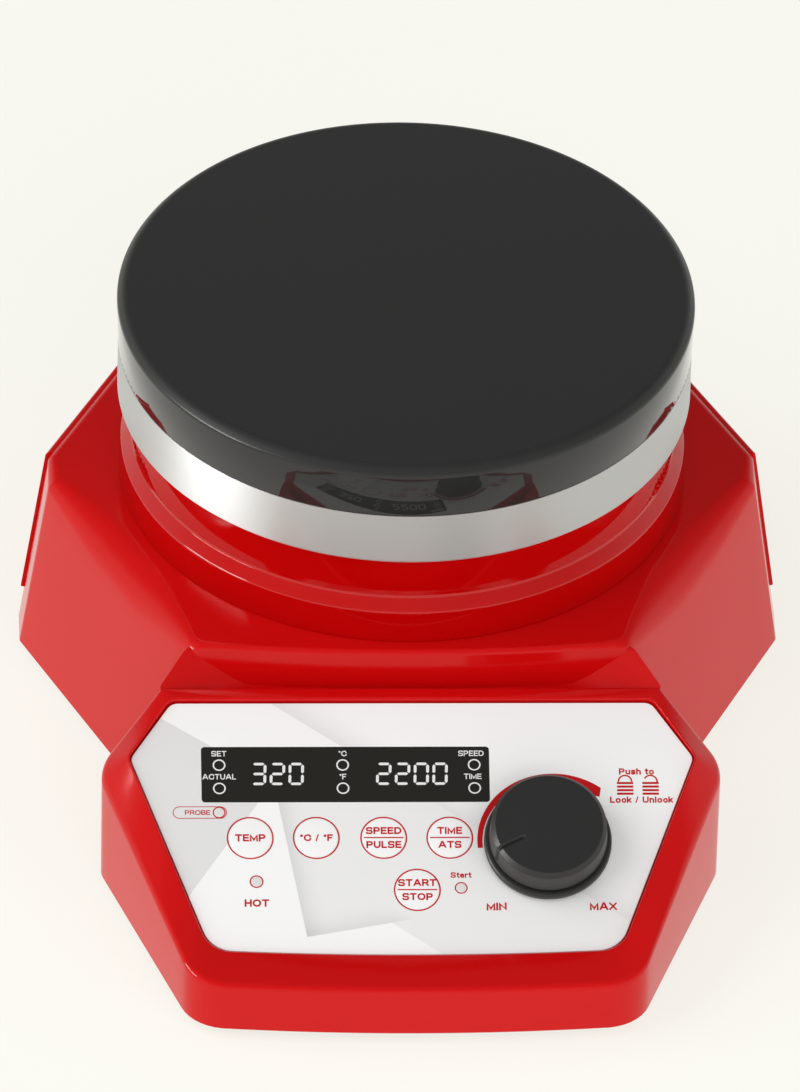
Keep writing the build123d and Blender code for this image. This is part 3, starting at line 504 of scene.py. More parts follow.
class Net:
    """Short way to add and wire shader nodes in one tree."""

    def __init__(self, tree):
        self.tree = tree

    def add(self, kind, inputs=None, **settings):
        node = self.tree.nodes.new(kind)
        for name, value in settings.items():
            setattr(node, name, value)
        for name, value in (inputs or {}).items():
            self.wire(value, node.inputs[name])
        return node

    def wire(self, value, socket):
        if isinstance(value, bpy.types.NodeSocket):
            self.tree.links.new(value, socket)
        elif isinstance(value, (list, tuple)) and socket.type == "RGBA" and len(value) == 3:
            socket.default_value = (*value, 1.0)
        else:
            socket.default_value = value

    def maths(self, operation, a, b=0.0, c=0.0, clamp=False):
        node = self.add("ShaderNodeMath", operation=operation, use_clamp=clamp)
        for i, value in enumerate((a, b, c)):
            self.wire(value, node.inputs[i])
        return node.outputs[0]

    def mix(self, factor, a, b):
        node = self.add("ShaderNodeMix", data_type="RGBA")
        self.wire(factor, node.inputs[0])
        self.wire(a, node.inputs[6])
        self.wire(b, node.inputs[7])
        return node.outputs[2]

    def ramp(self, value, low, high, out_low=0.0, out_high=1.0):
        node = self.add("ShaderNodeMapRange", interpolation_type="SMOOTHSTEP")
        for i, number in enumerate((value, low, high, out_low, out_high)):
            self.wire(number, node.inputs[i])
        return node.outputs[0]

    def noise(self, place, scale, detail=2.0, rough=0.5):
        inputs = {"Vector": place, "Scale": scale, "Detail": detail, "Roughness": rough}
        return self.add("ShaderNodeTexNoise", inputs).outputs[0]

    def vector(self, operation, a, b=(0.0, 0.0, 0.0), output="Vector"):
        return self.add("ShaderNodeVectorMath", {0: a, 1: b}, operation=operation).outputs[output]

    def combine(self, x, y, z):
        return self.add("ShaderNodeCombineXYZ", {"X": x, "Y": y, "Z": z}).outputs[0]

    def separate(self, vector):
        return self.add("ShaderNodeSeparateXYZ", {"Vector": vector}).outputs

    def place(self):
        return self.add("ShaderNodeTexCoord").outputs["Object"]

    def bump(self, height, strength, distance):
        inputs = {"Height": height, "Strength": strength, "Distance": distance}
        return self.add("ShaderNodeBump", inputs).outputs[0]


def new_group(name, inputs, outputs):
    """Node group with number inputs and outputs by name; returns the tree, its net and its ends."""
    tree = bpy.data.node_groups.new(name, "ShaderNodeTree")
    for label, default in inputs.items():
        tree.interface.new_socket(label, in_out="INPUT", socket_type="NodeSocketFloat").default_value = default
    for label, kind in outputs.items():
        tree.interface.new_socket(label, in_out="OUTPUT", socket_type=kind)
    net = Net(tree)
    return tree, net, net.add("NodeGroupInput").outputs, net.add("NodeGroupOutput").inputs


def new_material(name):
    """Material with one Principled shader; returns it, its net and the shader's inputs."""
    material = bpy.data.materials.new(name)
    material.use_nodes = True
    net = Net(material.node_tree)
    shader = material.node_tree.nodes["Principled BSDF"]
    return material, net, shader.inputs


def use_group(net, tree, **values):
    """A node of the group, with the values given on its inputs; returns its outputs."""
    node = net.add("ShaderNodeGroup")
    node.node_tree = tree
    for name, value in values.items():
        net.wire(value, node.inputs[name])
    return node.outputs


FLOAT, COLOUR, VECTOR = "NodeSocketFloat", "NodeSocketColor", "NodeSocketVector"


def surface_variation_group():
    """Moulded and cast surfaces: a slow tone change, a fine skin texture and faint dull patches.

    Tone = 1 + Depth * (slow noise - 0.5). Roughness = Base + Spread * (patch noise - 0.5).
    """
    tree, net, given, out = new_group(
        "surface_variation",
        {"Base": 0.3, "Spread": 0.1, "Depth": 0.06, "Grain": 900.0, "Height": 0.02},
        {"Tone": FLOAT, "Roughness": FLOAT, "Normal": VECTOR},
    )
    place = net.place()
    slow = net.maths("SUBTRACT", net.noise(place, 9.0), 0.5)
    patch = net.maths("SUBTRACT", net.noise(place, 34.0, 4.0, 0.6), 0.5)
    net.wire(net.maths("MULTIPLY_ADD", slow, given["Depth"], 1.0), out["Tone"])
    net.wire(net.maths("MULTIPLY_ADD", patch, given["Spread"], given["Base"]), out["Roughness"])
    net.wire(net.bump(net.noise(place, given["Grain"]), given["Height"], 0.0002), out["Normal"])
    return tree


def turning_marks_group():
    """Fine rings left by turning about the plate's axis: noise read along the distance from the
    axis and along the height, with a little waviness round the ring."""
    outputs = {"Marks": FLOAT, "Tangent": VECTOR, "Normal": VECTOR}
    tree, net, given, out = new_group("turning_marks", {"Scale": 1.0, "Height": 0.05}, outputs)
    x, y, z = net.separate(net.vector("SUBTRACT", net.place(), (0.0, AXIS_Y * 0.001, 0.0)))
    radius = net.maths("SQRT", net.maths("ADD", net.maths("MULTIPLY", x, x), net.maths("MULTIPLY", y, y)))
    angle = net.maths("ARCTAN2", y, x)
    fine = [net.maths("MULTIPLY", length, 9000.0) for length in (radius, z)]
    marks = net.noise(net.combine(*fine, net.maths("MULTIPLY", angle, 1.3)), given["Scale"], 3.0, 0.7)
    net.wire(marks, out["Marks"])
    net.wire(net.bump(marks, given["Height"], 0.0001), out["Normal"])
    round_ring = net.combine(net.maths("MULTIPLY", y, -1.0), x, 0.0)
    net.wire(net.vector("NORMALIZE", round_ring), out["Tangent"])
    return tree


def crowned_side_group():
    """Slight barrel shape of an upright turned side: the surface normal leans down by Lean at the
    side's top and by Lean + More at its foot, fading out where the surface turns level."""
    inputs = {"Lean": 0.1, "More": 0.08, "Low": 0.0, "High": 1.0}
    tree, net, given, out = new_group("crowned_side", inputs, {"Normal": VECTOR, "Side": FLOAT})
    normal = net.add("ShaderNodeNewGeometry").outputs["Normal"]
    lower = net.ramp(net.separate(net.place())[2], given["High"], given["Low"])
    upright = net.ramp(net.maths("ABSOLUTE", net.separate(normal)[2]), 0.7, 0.15)
    lean = net.maths("MULTIPLY", net.maths("MULTIPLY_ADD", lower, given["More"], given["Lean"]), upright)
    leaned = net.vector("ADD", normal, net.combine(0.0, 0.0, net.maths("MULTIPLY", lean, -1.0)))
    net.wire(net.vector("NORMALIZE", leaned), out["Normal"])
    net.wire(upright, out["Side"])
    return tree


def paper_fold_group():
    """Pale folded-paper pattern in the panel's own axes.

    u and v are found from Object coordinates. Each fold is a line; signed distance to it picks the
    facet, and a shadow that fades away from the fold darkens one side.
    """
    tree, net, given, out = new_group("paper_fold", {"White": 1.0, "Strength": 1.0}, {"Tone": FLOAT})
    local = net.vector("SUBTRACT", net.place(), tuple(to_row(PANEL_CENTRE)))
    up_panel = (0.0, 1000.0 * math.cos(TILT), 1000.0 * math.sin(TILT))
    u, v = [net.vector("DOT_PRODUCT", local, axis, "Value") for axis in ((1000.0, 0.0, 0.0), up_panel)]

    def side(p, q):
        """Signed distance in mm from the line through p and q, positive on its left."""
        across = np.array([-(q[1] - p[1]), q[0] - p[0]], float)
        across /= np.linalg.norm(across)
        along = net.maths("MULTIPLY_ADD", u, float(across[0]), -float(across @ np.array(p)))
        return net.maths("MULTIPLY_ADD", v, float(across[1]), along)

    def shade(distance, reach, depth):
        """Shadow on the positive side of a fold: depth * (1 - distance / reach) squared."""
        fade = net.maths("SUBTRACT", 1.0, net.maths("DIVIDE", distance, reach), clamp=True)
        on = net.ramp(distance, -0.02, 0.06)
        return net.maths("MULTIPLY", net.maths("MULTIPLY", net.maths("MULTIPLY", fade, fade), on), depth)

    def both(a, b):
        return net.maths("MULTIPLY", a, b)

    def flip(a):
        return net.maths("SUBTRACT", 1.0, a)

    def beyond(distance):
        return net.ramp(distance, -0.05, 0.05)

    fold_one = side((-32.4, 31.7), (49.5, -24.4))
    fold_three = side((-31.2, 6.2), (-25.0, -28.3))
    left_edge = side((-52.3, -17.9), (-35.8, 6.2))
    left_top = side((-46.9, 21.0), (-58.4, 28.2))
    fold_four = side((-37.8, -30.7), (-5.4, -24.7))
    fold_five = side((-5.4, -24.7), (4.8, -31.8))
    lower = flip(beyond(fold_one))
    past_three = beyond(fold_three)
    middle = both(both(past_three, lower), net.ramp(v, 13.0, 11.0))
    under = both(flip(beyond(fold_four)), flip(beyond(fold_five)))
    facet = both(both(beyond(left_edge), beyond(left_top)), lower)
    shadow_three = both(both(shade(fold_three, 6.5, 0.16), middle), flip(under))
    shadow_four = both(both(shade(fold_four, 7.0, 0.13), middle), flip(net.ramp(fold_five, 0.0, 5.0)))
    dark = shade(fold_one, 9.0, 0.16)
    for part in (both(middle, 0.105), shadow_three, both(facet, 0.19), shadow_four):
        dark = net.maths("ADD", dark, part)
    kept = flip(both(under, past_three))
    dark = both(both(dark, kept), given["Strength"])
    net.wire(net.maths("SUBTRACT", given["White"], dark), out["Tone"])
    return tree


variation = surface_variation_group()
turning = turning_marks_group()
paper_fold = paper_fold_group()
crowned_side = crowned_side_group()


# ---------------------------------------------------------------- materials


def tint(net, shader, colour, tone):
    """Base colour: one colour times a tone that varies over the surface."""
    scaled = net.add("ShaderNodeVectorMath", operation="SCALE")
    scaled.inputs[0].default_value = colour
    net.wire(tone, scaled.inputs["Scale"])
    net.wire(scaled.outputs[0], shader["Base Color"])


def plain(name, colour, rough, metal=0.0, depth=0.08, spread=0.08, grain=900.0, height=0.03, specular=0.5):
    """A finish from the shared variation group: its own colour, roughness and metalness."""
    material, net, shader = new_material(name)
    varied = use_group(net, variation, Base=rough, Spread=spread, Depth=depth, Grain=grain, Height=height)
    tint(net, shader, linear(*colour), varied["Tone"])
    net.wire(varied["Roughness"], shader["Roughness"])
    net.wire(varied["Normal"], shader["Normal"])
    shader["Metallic"].default_value = metal
    shader["Specular IOR Level"].default_value = specular
    return material


def coating_material():
    """Black plate coating: a satin top and a polished, slightly crowned side."""
    material, net, shader = new_material("plate_coating")
    low, high = (PLATE_LOW_Z + LIFT) * 0.001, (PLATE_TOP_Z + LIFT - 2.0) * 0.001
    crown = use_group(net, crowned_side, Lean=0.085, More=0.06, Low=low, High=high)
    varied = use_group(net, variation, Base=0.42, Spread=0.04, Depth=0.08, Grain=2600.0, Height=0.05)
    tint(net, shader, linear(41, 41, 41), varied["Tone"])
    net.wire(net.maths("MULTIPLY_ADD", crown["Side"], -0.395, varied["Roughness"]), shader["Roughness"])
    net.wire(crown["Normal"], shader["Normal"])
    shader["Specular IOR Level"].default_value = 0.34
    return material


def collar_material():
    """Polished red plastic of the neck, with the same slight crown on its upright side."""
    material, net, shader = new_material("red_collar")
    low, high = (60.0 + LIFT) * 0.001, (HEAD_Z + LIFT) * 0.001
    crown = use_group(net, crowned_side, Lean=0.16, More=0.04, Low=low, High=high)
    varied = use_group(net, variation, Base=0.05, Spread=0.03, Depth=0.05, Grain=900.0, Height=0.006)
    tint(net, shader, linear(190, 3, 4), varied["Tone"])
    net.wire(varied["Roughness"], shader["Roughness"])
    net.wire(crown["Normal"], shader["Normal"])
    return material


def trim_material():
    """Satin turned metal: brushed round the plate's axis."""
    material, net, shader = new_material("bright_trim")
    lathe = use_group(net, turning, Scale=1.0, Height=0.12)
    net.wire(net.mix(lathe["Marks"], (0.56, 0.56, 0.555), (0.66, 0.66, 0.655)), shader["Base Color"])
    net.wire(net.maths("MULTIPLY_ADD", lathe["Marks"], 0.08, 0.4), shader["Roughness"])
    net.wire(lathe["Normal"], shader["Normal"])
    net.wire(lathe["Tangent"], shader["Tangent"])
    shader["Metallic"].default_value = 1.0
    shader["Anisotropic"].default_value = 0.8
    shader["Anisotropic Rotation"].default_value = 0.25
    return material


def film_material(name, strength):
    """Printed polyester film: the folded-paper print under a smooth clear face."""
    material, net, shader = new_material(name)
    varied = use_group(net, variation, Base=0.22, Spread=0.05, Depth=0.01, Grain=1800.0, Height=0.01)
    print_tone = use_group(net, paper_fold, White=1.0, Strength=strength)["Tone"]
    tint(net, shader, (0.96, 0.96, 0.955), net.maths("MULTIPLY", print_tone, varied["Tone"]))
    net.wire(varied["Roughness"], shader["Roughness"])
    net.wire(varied["Normal"], shader["Normal"])
    return material


# Each plain finish: display colour, roughness and whatever differs from plain()'s defaults
FINISHES = {
    "red_shell": ((206, 9, 11), 0.12, {"spread": 0.04, "depth": 0.05, "height": 0.01, "specular": 0.24}),
    "smoked_window": ((26, 25, 20), 0.12, {"grain": 1500.0, "height": 0.01}),
    "lamp_lens": ((225, 225, 222), 0.25, {}),
    "knob_black": ((36, 36, 36), 0.4, {"spread": 0.1, "grain": 2200.0, "height": 0.06}),
    "black_plastic": ((30, 30, 31), 0.45, {"grain": 1600.0, "height": 0.08}),
    "base_paint": ((38, 38, 40), 0.5, {"grain": 1400.0, "height": 0.12}),
    "foot_rubber": ((28, 28, 28), 0.75, {"depth": 0.15, "grain": 1200.0, "height": 0.2}),
    "zinc_screws": ((190, 190, 192), 0.32, {"metal": 1.0, "spread": 0.16}),
    "plain_steel": ((175, 175, 178), 0.36, {"metal": 1.0, "spread": 0.16}),
    "motor_core": ((120, 110, 104), 0.55, {"metal": 0.6}),
    "magnet_plate": ((200, 198, 192), 0.25, {"metal": 1.0}),
    "carrier_aluminium": ((196, 197, 199), 0.4, {"metal": 1.0}),
    "fan_plastic": ((45, 46, 48), 0.5, {}),
    "insulation": ((214, 205, 186), 0.9, {"depth": 0.3, "grain": 700.0, "height": 0.4}),
    "lead_sleeve": ((230, 226, 215), 0.6, {"depth": 0.2}),
    "board_green": ((30, 84, 52), 0.4, {"depth": 0.25}),
    "nylon": ((222, 220, 210), 0.5, {}),
    "transformer_core": ((96, 92, 90), 0.5, {"metal": 0.5, "depth": 0.2}),
    "brass_pins": ((205, 176, 110), 0.3, {"metal": 1.0}),
}
MATERIALS = {name: plain(name, colour, rough, **more) for name, (colour, rough, more) in FINISHES.items()}
MATERIALS["red_collar"] = collar_material()
MATERIALS["plate_coating"] = coating_material()
MATERIALS["bright_trim"] = trim_material()
MATERIALS["printed_film"] = film_material("printed_film", 1.0)
MATERIALS["key_film"] = film_material("key_film", 0.0)
PRINT_RED = plain("print_red", (196, 12, 20), 0.34, depth=0.05, specular=0.3)
PRINT_WHITE = plain("print_white", (236, 236, 234), 0.3, depth=0.04)

# A CAD node's material is named after its slot, perhaps with a number after a dot.
for node in frame["nodes"].values():
    slots = node.data.materials
    kind = slots[0].name.split(".")[0] if slots else "plain_steel"
    for index in range(len(slots)):
        slots[index] = MATERIALS.get(kind, MATERIALS["plain_steel"])


# ---------------------------------------------------------------- housing


def add_housing():
    shell = joined([body_shell(), console_shell(), bridge_shell(), window_frame()])
    make_piece("shell", shell, "red_shell", node="upper_housing", sharp=34)
    make_piece("cover_band", cover_shell(), "red_shell", node="rear_cover", sharp=34)


def add_head():
    """The neck, the bright ring and the plate, each turned from a profile of (radius, height,
    corner radius)."""
    hole_r, lip_r = DECK_OPENING_R + 2, NECK_R + 0.8
    collar = [
        (hole_r, DECK_Z + 0.02), (LEDGE_R - 0.2, DECK_Z + 0.02, 0.3), (LEDGE_R - 0.4, 57.0, 1.0),
        (NECK_R + 0.2, 59.5, 0.5), (NECK_R, 60.1, 0.3), (NECK_R, HEAD_Z - 1.6, 0.3),
        (lip_r, HEAD_Z - 1.2, 0.25), (lip_r, HEAD_Z - 0.5, 0.2), (NECK_R - 2.5, HEAD_Z - 0.5),
        (NECK_R - 2.5, DECK_Z + 2.5), (hole_r, DECK_Z + 2.5), (hole_r, DECK_Z + 0.02),
    ]
    make_piece("neck", turned_solid(collar), "red_collar", node="neck_collar")
    ring = [
        (53.5, HEAD_Z), (TRIM_R - 0.9, HEAD_Z, 0.3), (TRIM_R, HEAD_Z + 0.9, 0.4),
        (TRIM_R, PLATE_LOW_Z - 0.05, 0.15), (TRIM_R - 3.2, PLATE_LOW_Z - 0.05),
        (TRIM_R - 3.2, HEAD_Z + 1.5), (53.5, HEAD_Z + 1.5), (53.5, HEAD_Z),
    ]
    make_piece("trim", turned_solid(ring), "bright_trim", node="trim_ring")
    plate = [
        (0, 92.0), (PLATE_R - 3.4, 92.0), (PLATE_R - 3.4, PLATE_LOW_Z), (PLATE_R - 0.5, PLATE_LOW_Z, 0.3),
        (PLATE_R, PLATE_TOP_Z - 2.0, 1.6), (PLATE_R - 1.7, PLATE_TOP_Z, 2.4), (0, PLATE_TOP_Z),
    ]
    make_piece("plate", turned_solid(plate), "plate_coating", node="heating_plate")


# ---------------------------------------------------------------- front panel


def panel_slab(ring, low, high, edge):
    """Slab on the panel: a ring function of (grow, w) swept up with a small rounded top edge."""
    rows = [ring(0, low)]
    for angle in np.linspace(0, math.pi / 2, 5):
        rows.append(ring(-edge * (1 - math.cos(angle)), high - edge * (1 - math.sin(angle))))
    return shell_from_grid(np.stack(rows))


def unit_circle(segments):
    """Points of a circle of radius 1."""
    angle = np.linspace(0, 2 * np.pi, segments, endpoint=False)
    return np.column_stack([np.cos(angle), np.sin(angle)])


def at_height(line, w):
    """A row of (u, v) points at one height above the panel."""
    return np.column_stack([line, np.full(len(line), w)])


def disc_ring(place, radius, segments=72):
    """Circle about a place on the panel, as a function of (grow, w)."""
    circle = unit_circle(segments)

    def ring(grow, w):
        return on_panel(at_height(place + circle * (radius + grow), w))

    return ring


def box_ring(left, right, bottom, top, radius):
    """Rectangle with rounded corners on the panel, as a function of (grow, w)."""
    corners = [
        (right - radius, top - radius), (left + radius, top - radius),
        (left + radius, bottom + radius), (right - radius, bottom + radius),
    ]

    def ring(grow, w):
        points = []
        for i, (u, v) in enumerate(corners):
            for angle in np.radians(np.linspace(90 * i, 90 * i + 90, 5)):
                points.append((u + (radius + grow) * math.cos(angle), v + (radius + grow) * math.sin(angle), w))
        return on_panel(points)

    return ring


PRINT_W = 0.03
PRINT_T = 0.02


def flat_strip(inner, outer, w):
    """Thin raised strip between two closed rows of (u, v) points."""
    low = w - PRINT_T
    rows = [at_height(inner, low), at_height(inner, w), at_height(outer, w), at_height(outer, low)]
    return shell_from_grid(on_panel(np.stack(rows)), closed_rows=True)


def print_ring(place, inner, outer, w):
    """Thin raised ring about a place, between two radii."""
    circle = unit_circle(64)
    return flat_strip(place + circle * inner, place + circle * outer, w)


def print_polygon(outline, w):
    """Thin raised patch with a straight-sided or many-sided outline of (u, v) points."""
    outline = np.asarray(outline, float)
    return shell_from_grid(on_panel(np.stack([at_height(outline, w - PRINT_T), at_height(outline, w)])))


def print_bar(place, half_u, half_v, w):
    """Thin raised rectangle about a place."""
    corners = np.array([(-half_u, -half_v), (half_u, -half_v), (half_u, half_v), (-half_u, half_v)])
    return print_polygon(place + corners, w)


def stroke(path, half, w, closed=False, low=-9.0, high=9.0):
    """Thin raised line of even width along a path of (u, v) points, with mitred corners, kept
    between two heights of the line of text. Open ends run on by half the width."""
    path = np.asarray(path, float)
    step = np.linalg.norm(path - np.roll(path, 1, 0), axis=1)
    step[0] = step[0] if closed else 1.0
    path = path[step > 1e-4]
    if not closed:
        ends = path[[0, -1]] - path[[1, -2]]
        path[[0, -1]] += ends / np.linalg.norm(ends, axis=1, keepdims=True) * half
    ahead = np.roll(path, -1, 0) - path
    ahead /= np.linalg.norm(ahead, axis=1, keepdims=True)
    behind = np.roll(ahead, 1, 0)
    if not closed:
        ahead[-1], behind[0] = behind[-1], ahead[0]
    mid = ahead + behind
    mid /= np.maximum(np.linalg.norm(mid, axis=1, keepdims=True), 1e-6)
    share = np.clip(np.einsum("ij,ij->i", mid, ahead), 0.4, 1)[:, None]
    reach = np.column_stack([-mid[:, 1], mid[:, 0]]) * half / share
    left, right = path + reach, path - reach
    for line in (left, right):
        line[:, 1] = np.clip(line[:, 1], low, high)
    low_w = w - PRINT_T
    stations = [at_height(left, low_w), at_height(left, w), at_height(right, w), at_height(right, low_w)]
    return shell_from_grid(on_panel(np.stack(stations, 1)), closed_rows=closed)


# Bold wide capitals and a few small letters: each is its width and its strokes, as corners
# (x, y, radius) between the line of text's foot, 0, and its top, 1. A leading "o" closes a stroke.
GLYPHS = {
    "A": (0.9, [[(0, 0), (0.4, 1), (0.5, 1), (0.9, 0)], [(0.2, 0.3), (0.7, 0.3)]]),
    "B": (0.72, [[(0, 0), (0, 1), (0.68, 1, 0.22), (0.68, 0.53, 0.22), (0, 0.53)],
        [(0.4, 0.53), (0.74, 0.53, 0.24), (0.74, 0, 0.24), (0, 0)]]),
    "C": (0.84, [[(0.86, 0.70), (0.78, 1, 0.28), (0, 1, 0.48), (0, 0, 0.48), (0.78, 0, 0.28), (0.86, 0.30)]]),
    "D": (0.8, [[(0, 0), (0, 1), (0.8, 1, 0.46), (0.8, 0, 0.46), (0, 0)]]),
    "E": (0.62, [[(0.62, 1), (0, 1), (0, 0), (0.64, 0)], [(0, 0.51), (0.56, 0.51)]]),
    "F": (0.58, [[(0.6, 1), (0, 1), (0, 0)], [(0, 0.49), (0.5, 0.49)]]),
    "H": (0.74, [[(0, 0), (0, 1)], [(0.74, 0), (0.74, 1)], [(0, 0.5), (0.74, 0.5)]]),
    "I": (0.0, [[(0, 0), (0, 1)]]),
    "K": (0.76, [[(0, 0), (0, 1)], [(0.74, 1), (0, 0.36)], [(0.26, 0.58), (0.78, 0)]]),
    "L": (0.56, [[(0, 1), (0, 0), (0.56, 0)]]),
    "M": (0.9, [[(0, 0), (0, 1), (0.45, 0.1), (0.9, 1), (0.9, 0)]]),
    "N": (0.76, [[(0, 0), (0, 1), (0.76, 0), (0.76, 1)]]),
    "O": (0.92, [["o", (0.46, 0), (0.92, 0, 0.44), (0.92, 1, 0.44), (0, 1, 0.44), (0, 0, 0.44), (0.45, 0)]]),
    "P": (0.7, [[(0, 0), (0, 1), (0.7, 1, 0.26), (0.7, 0.44, 0.26), (0, 0.44)]]),
    "R": (0.74, [[(0, 0), (0, 1), (0.72, 1, 0.25), (0.72, 0.47, 0.25), (0, 0.47)], [(0.42, 0.44), (0.76, 0)]]),
    "S": (0.74, [[(0.73, 0.86), (0.7, 1, 0.11), (0, 1, 0.23), (0, 0.53, 0.22), (0.75, 0.47, 0.22),
        (0.75, 0, 0.23), (0.04, 0, 0.11), (0.01, 0.14)]]),
    "T": (0.74, [[(0, 1), (0.74, 1)], [(0.37, 1), (0.37, 0)]]),
    "U": (0.76, [[(0, 1), (0, 0, 0.36), (0.76, 0, 0.36), (0.76, 1)]]),
    "X": (0.78, [[(0, 0), (0.78, 1)], [(0, 1), (0.78, 0)]]),
    "/": (0.3, [[(0, -0.05), (0.3, 1.05)]]),
    "°": (0.2, [["o", (0.1, 0.74), (0.24, 0.74, 0.12), (0.24, 1.0, 0.12), (0, 1.0, 0.12),
        (0, 0.74, 0.12), (0.09, 0.74)]]),
    " ": (0.16, []),
    "a": (0.52, [[(0.03, 0.56), (0.06, 0.7, 0.1), (0.52, 0.7, 0.2), (0.52, 0)],
        [(0.52, 0.4), (0, 0.4, 0.18), (0, 0, 0.18), (0.52, 0, 0.14), (0.52, 0.2)]]),
    "c": (0.5, [[(0.52, 0.5), (0.48, 0.7, 0.18), (0, 0.7, 0.33), (0, 0, 0.33), (0.48, 0, 0.18), (0.52, 0.2)]]),
    "h": (0.53, [[(0, 0), (0, 1)], [(0, 0.35), (0, 0.7, 0.26), (0.53, 0.7, 0.26), (0.53, 0)]]),
    "k": (0.5, [[(0, 0), (0, 1)], [(0.5, 0.7), (0, 0.24)], [(0.18, 0.42), (0.54, 0)]]),
    "l": (0.0, [[(0, 0), (0, 1)]]),
    "n": (0.53, [[(0, 0), (0, 0.7)], [(0, 0.35), (0, 0.7, 0.26), (0.53, 0.7, 0.26), (0.53, 0)]]),
    "o": (0.58, [["o", (0.29, 0), (0.58, 0, 0.28), (0.58, 0.7, 0.28), (0, 0.7, 0.28),
        (0, 0, 0.28), (0.28, 0)]]),
    "r": (0.32, [[(0, 0), (0, 0.7)], [(0, 0.36), (0, 0.7, 0.24), (0.34, 0.7)]]),
    "s": (0.48, [[(0.47, 0.61), (0.45, 0.7, 0.07), (0, 0.7, 0.16), (0, 0.37, 0.15),
        (0.48, 0.33, 0.15), (0.48, 0, 0.16), (0.03, 0, 0.07), (0.01, 0.09)]]),
    "t": (0.3, [[(0.13, 0.95), (0.13, 0, 0.14), (0.32, 0)], [(0, 0.7), (0.32, 0.7)]]),
    "u": (0.54, [[(0, 0.7), (0, 0, 0.27), (0.54, 0, 0.27), (0.54, 0.3)], [(0.54, 0), (0.54, 0.7)]]),
}


def lettering(text, place, height, w, width=1.12, weight=0.22, gap=0.11):
    """A line of generic bold lettering centred on a place: cap height in mm, strokes as wide as
    weight * height, each stroke a hair higher than the one before so that none share a face."""
    thick = weight * height
    inner = height - thick
    space = thick + gap * height
    total = sum(GLYPHS[letter][0] * inner * width + space for letter in text) - space
    pen = place[0] - total / 2
    foot = place[1] - inner / 2
    parts = []
    for letter in text:
        advance, strokes = GLYPHS[letter]
        for i, corners in enumerate(strokes):
            closed = corners[0] == "o"
            path = rounded_profile(corners[1:] if closed else corners, 5)
            path = np.column_stack([pen + path[:, 0] * inner * width, foot + path[:, 1] * inner])
            half = thick / 2 * (0.75 if letter in "/°" else 1.0)
            slack = 0.1 if letter == "/" else 0.0
            low, high = place[1] - height / 2 - slack, place[1] + height / 2 + slack
            parts.append(stroke(path, half, w + 0.003 * (i + 1), closed, low, high))
        pen += advance * inner * width + space
    return joined(parts)


def segment_digit(shape, place, w):
    """One seven-segment digit, leaning slightly, as thin bars with pointed ends."""
    half_w, half_h, t, gap, lean = 1.45, 2.55, 0.33, 0.16, 0.03
    left, right = -half_w, half_w
    ends = {
        "a": (left, half_h, right, half_h), "g": (left, 0, right, 0), "d": (left, -half_h, right, -half_h),
        "f": (left, 0, left, half_h), "b": (right, 0, right, half_h),
        "e": (left, -half_h, left, 0), "c": (right, -half_h, right, 0),
    }
    parts = []
    for name in shape:
        start, end = np.array(ends[name], float).reshape(2, 2)
        along = (end - start) / np.linalg.norm(end - start)
        side, ahead = np.array([-along[1], along[0]]) * t, along * t
        start, end = start + along * gap, end - along * gap
        lower = [start, start + ahead - side, end - ahead - side]
        outline = np.array(lower + [end, end - ahead + side, start + ahead + side])
        outline[:, 0] += outline[:, 1] * lean
        parts.append(print_polygon(outline + place, w))
    return parts


DIGITS = {"0": "abcdef", "2": "abged", "3": "abgcd"}
KEY_TOP = 0.15


def knob_sweep():
    """Printed scale round the knob: an arc whose inner edge is a circle and whose outer edge grows
    with the angle, from a flat lower end to a pointed upper one."""
    angle = np.radians(np.linspace(183, 49, 90))
    share = np.linspace(0, 1, 90)
    outer = 16.2 + 3.1 * share**1.2
    inner = 15.0 + 1.6 * share
    bearing = np.column_stack([np.cos(angle), np.sin(angle)])
    tip = angle[-1] - math.radians(4.0)
    point = [[math.cos(tip) * 17.4, math.sin(tip) * 17.4]]
    outline = np.concatenate([bearing * outer[:, None], point, (bearing * inner[:, None])[::-1]])
    return print_polygon(outline + KNOB, PRINT_W)


def padlock(place, shackle):
    """Small lock mark: four bars for its body and an arc, between two angles, for its shackle."""
    u, v = place
    parts = [print_bar((u, v - 1.85 + 0.92 * i), 1.9, 0.27, PRINT_W) for i in range(4)]
    angle = np.radians(np.linspace(*shackle, 24))
    arc = np.column_stack([np.cos(angle), np.sin(angle) * 1.05])
    outline = np.concatenate([arc * 1.72, (arc * 1.36)[::-1]]) + (u, v + 1.25)
    return parts + [print_polygon(outline, PRINT_W)]


def add_panel():
    def film_ring(grow, w):
        return panel_ring(grow - 0.12, w)

    make_piece("film", panel_slab(film_ring, -FILM_T, 0.0, 0.12), "printed_film", node="panel_overlay")
    window = panel_slab(box_ring(*DISPLAY, 0.8), -0.3, 0.012, 0.01)
    make_piece("window", window, "smoked_window", node="display_window")
    for name, (u, v, lines) in KEYS.items():
        cap = panel_slab(disc_ring((u, v), KEY_R), -0.6, KEY_TOP, 0.12)
        make_piece(name + "_face", cap, "key_film", name, name)
        add_key_print(name, u, v, lines)
    add_red_print()
    add_window_print()


def add_key_print(name, u, v, lines):
    """A key's legend: one line of letters, or two with a bar between them."""
    w = KEY_TOP + PRINT_W
    if len(lines) == 1:
        parts = [lettering(lines[0], (u, v), 1.85 if name == "key_temperature" else 1.75, w)]
    else:
        parts = [lettering(lines[0], (u, v + 1.8), 1.8, w), lettering(lines[1], (u, v - 1.8), 1.8, w)]
        parts.append(print_bar((u, v), 4.6, 0.15, w))
    make_piece(name + "_legend", joined(parts), "key_film", name, material=PRINT_RED)


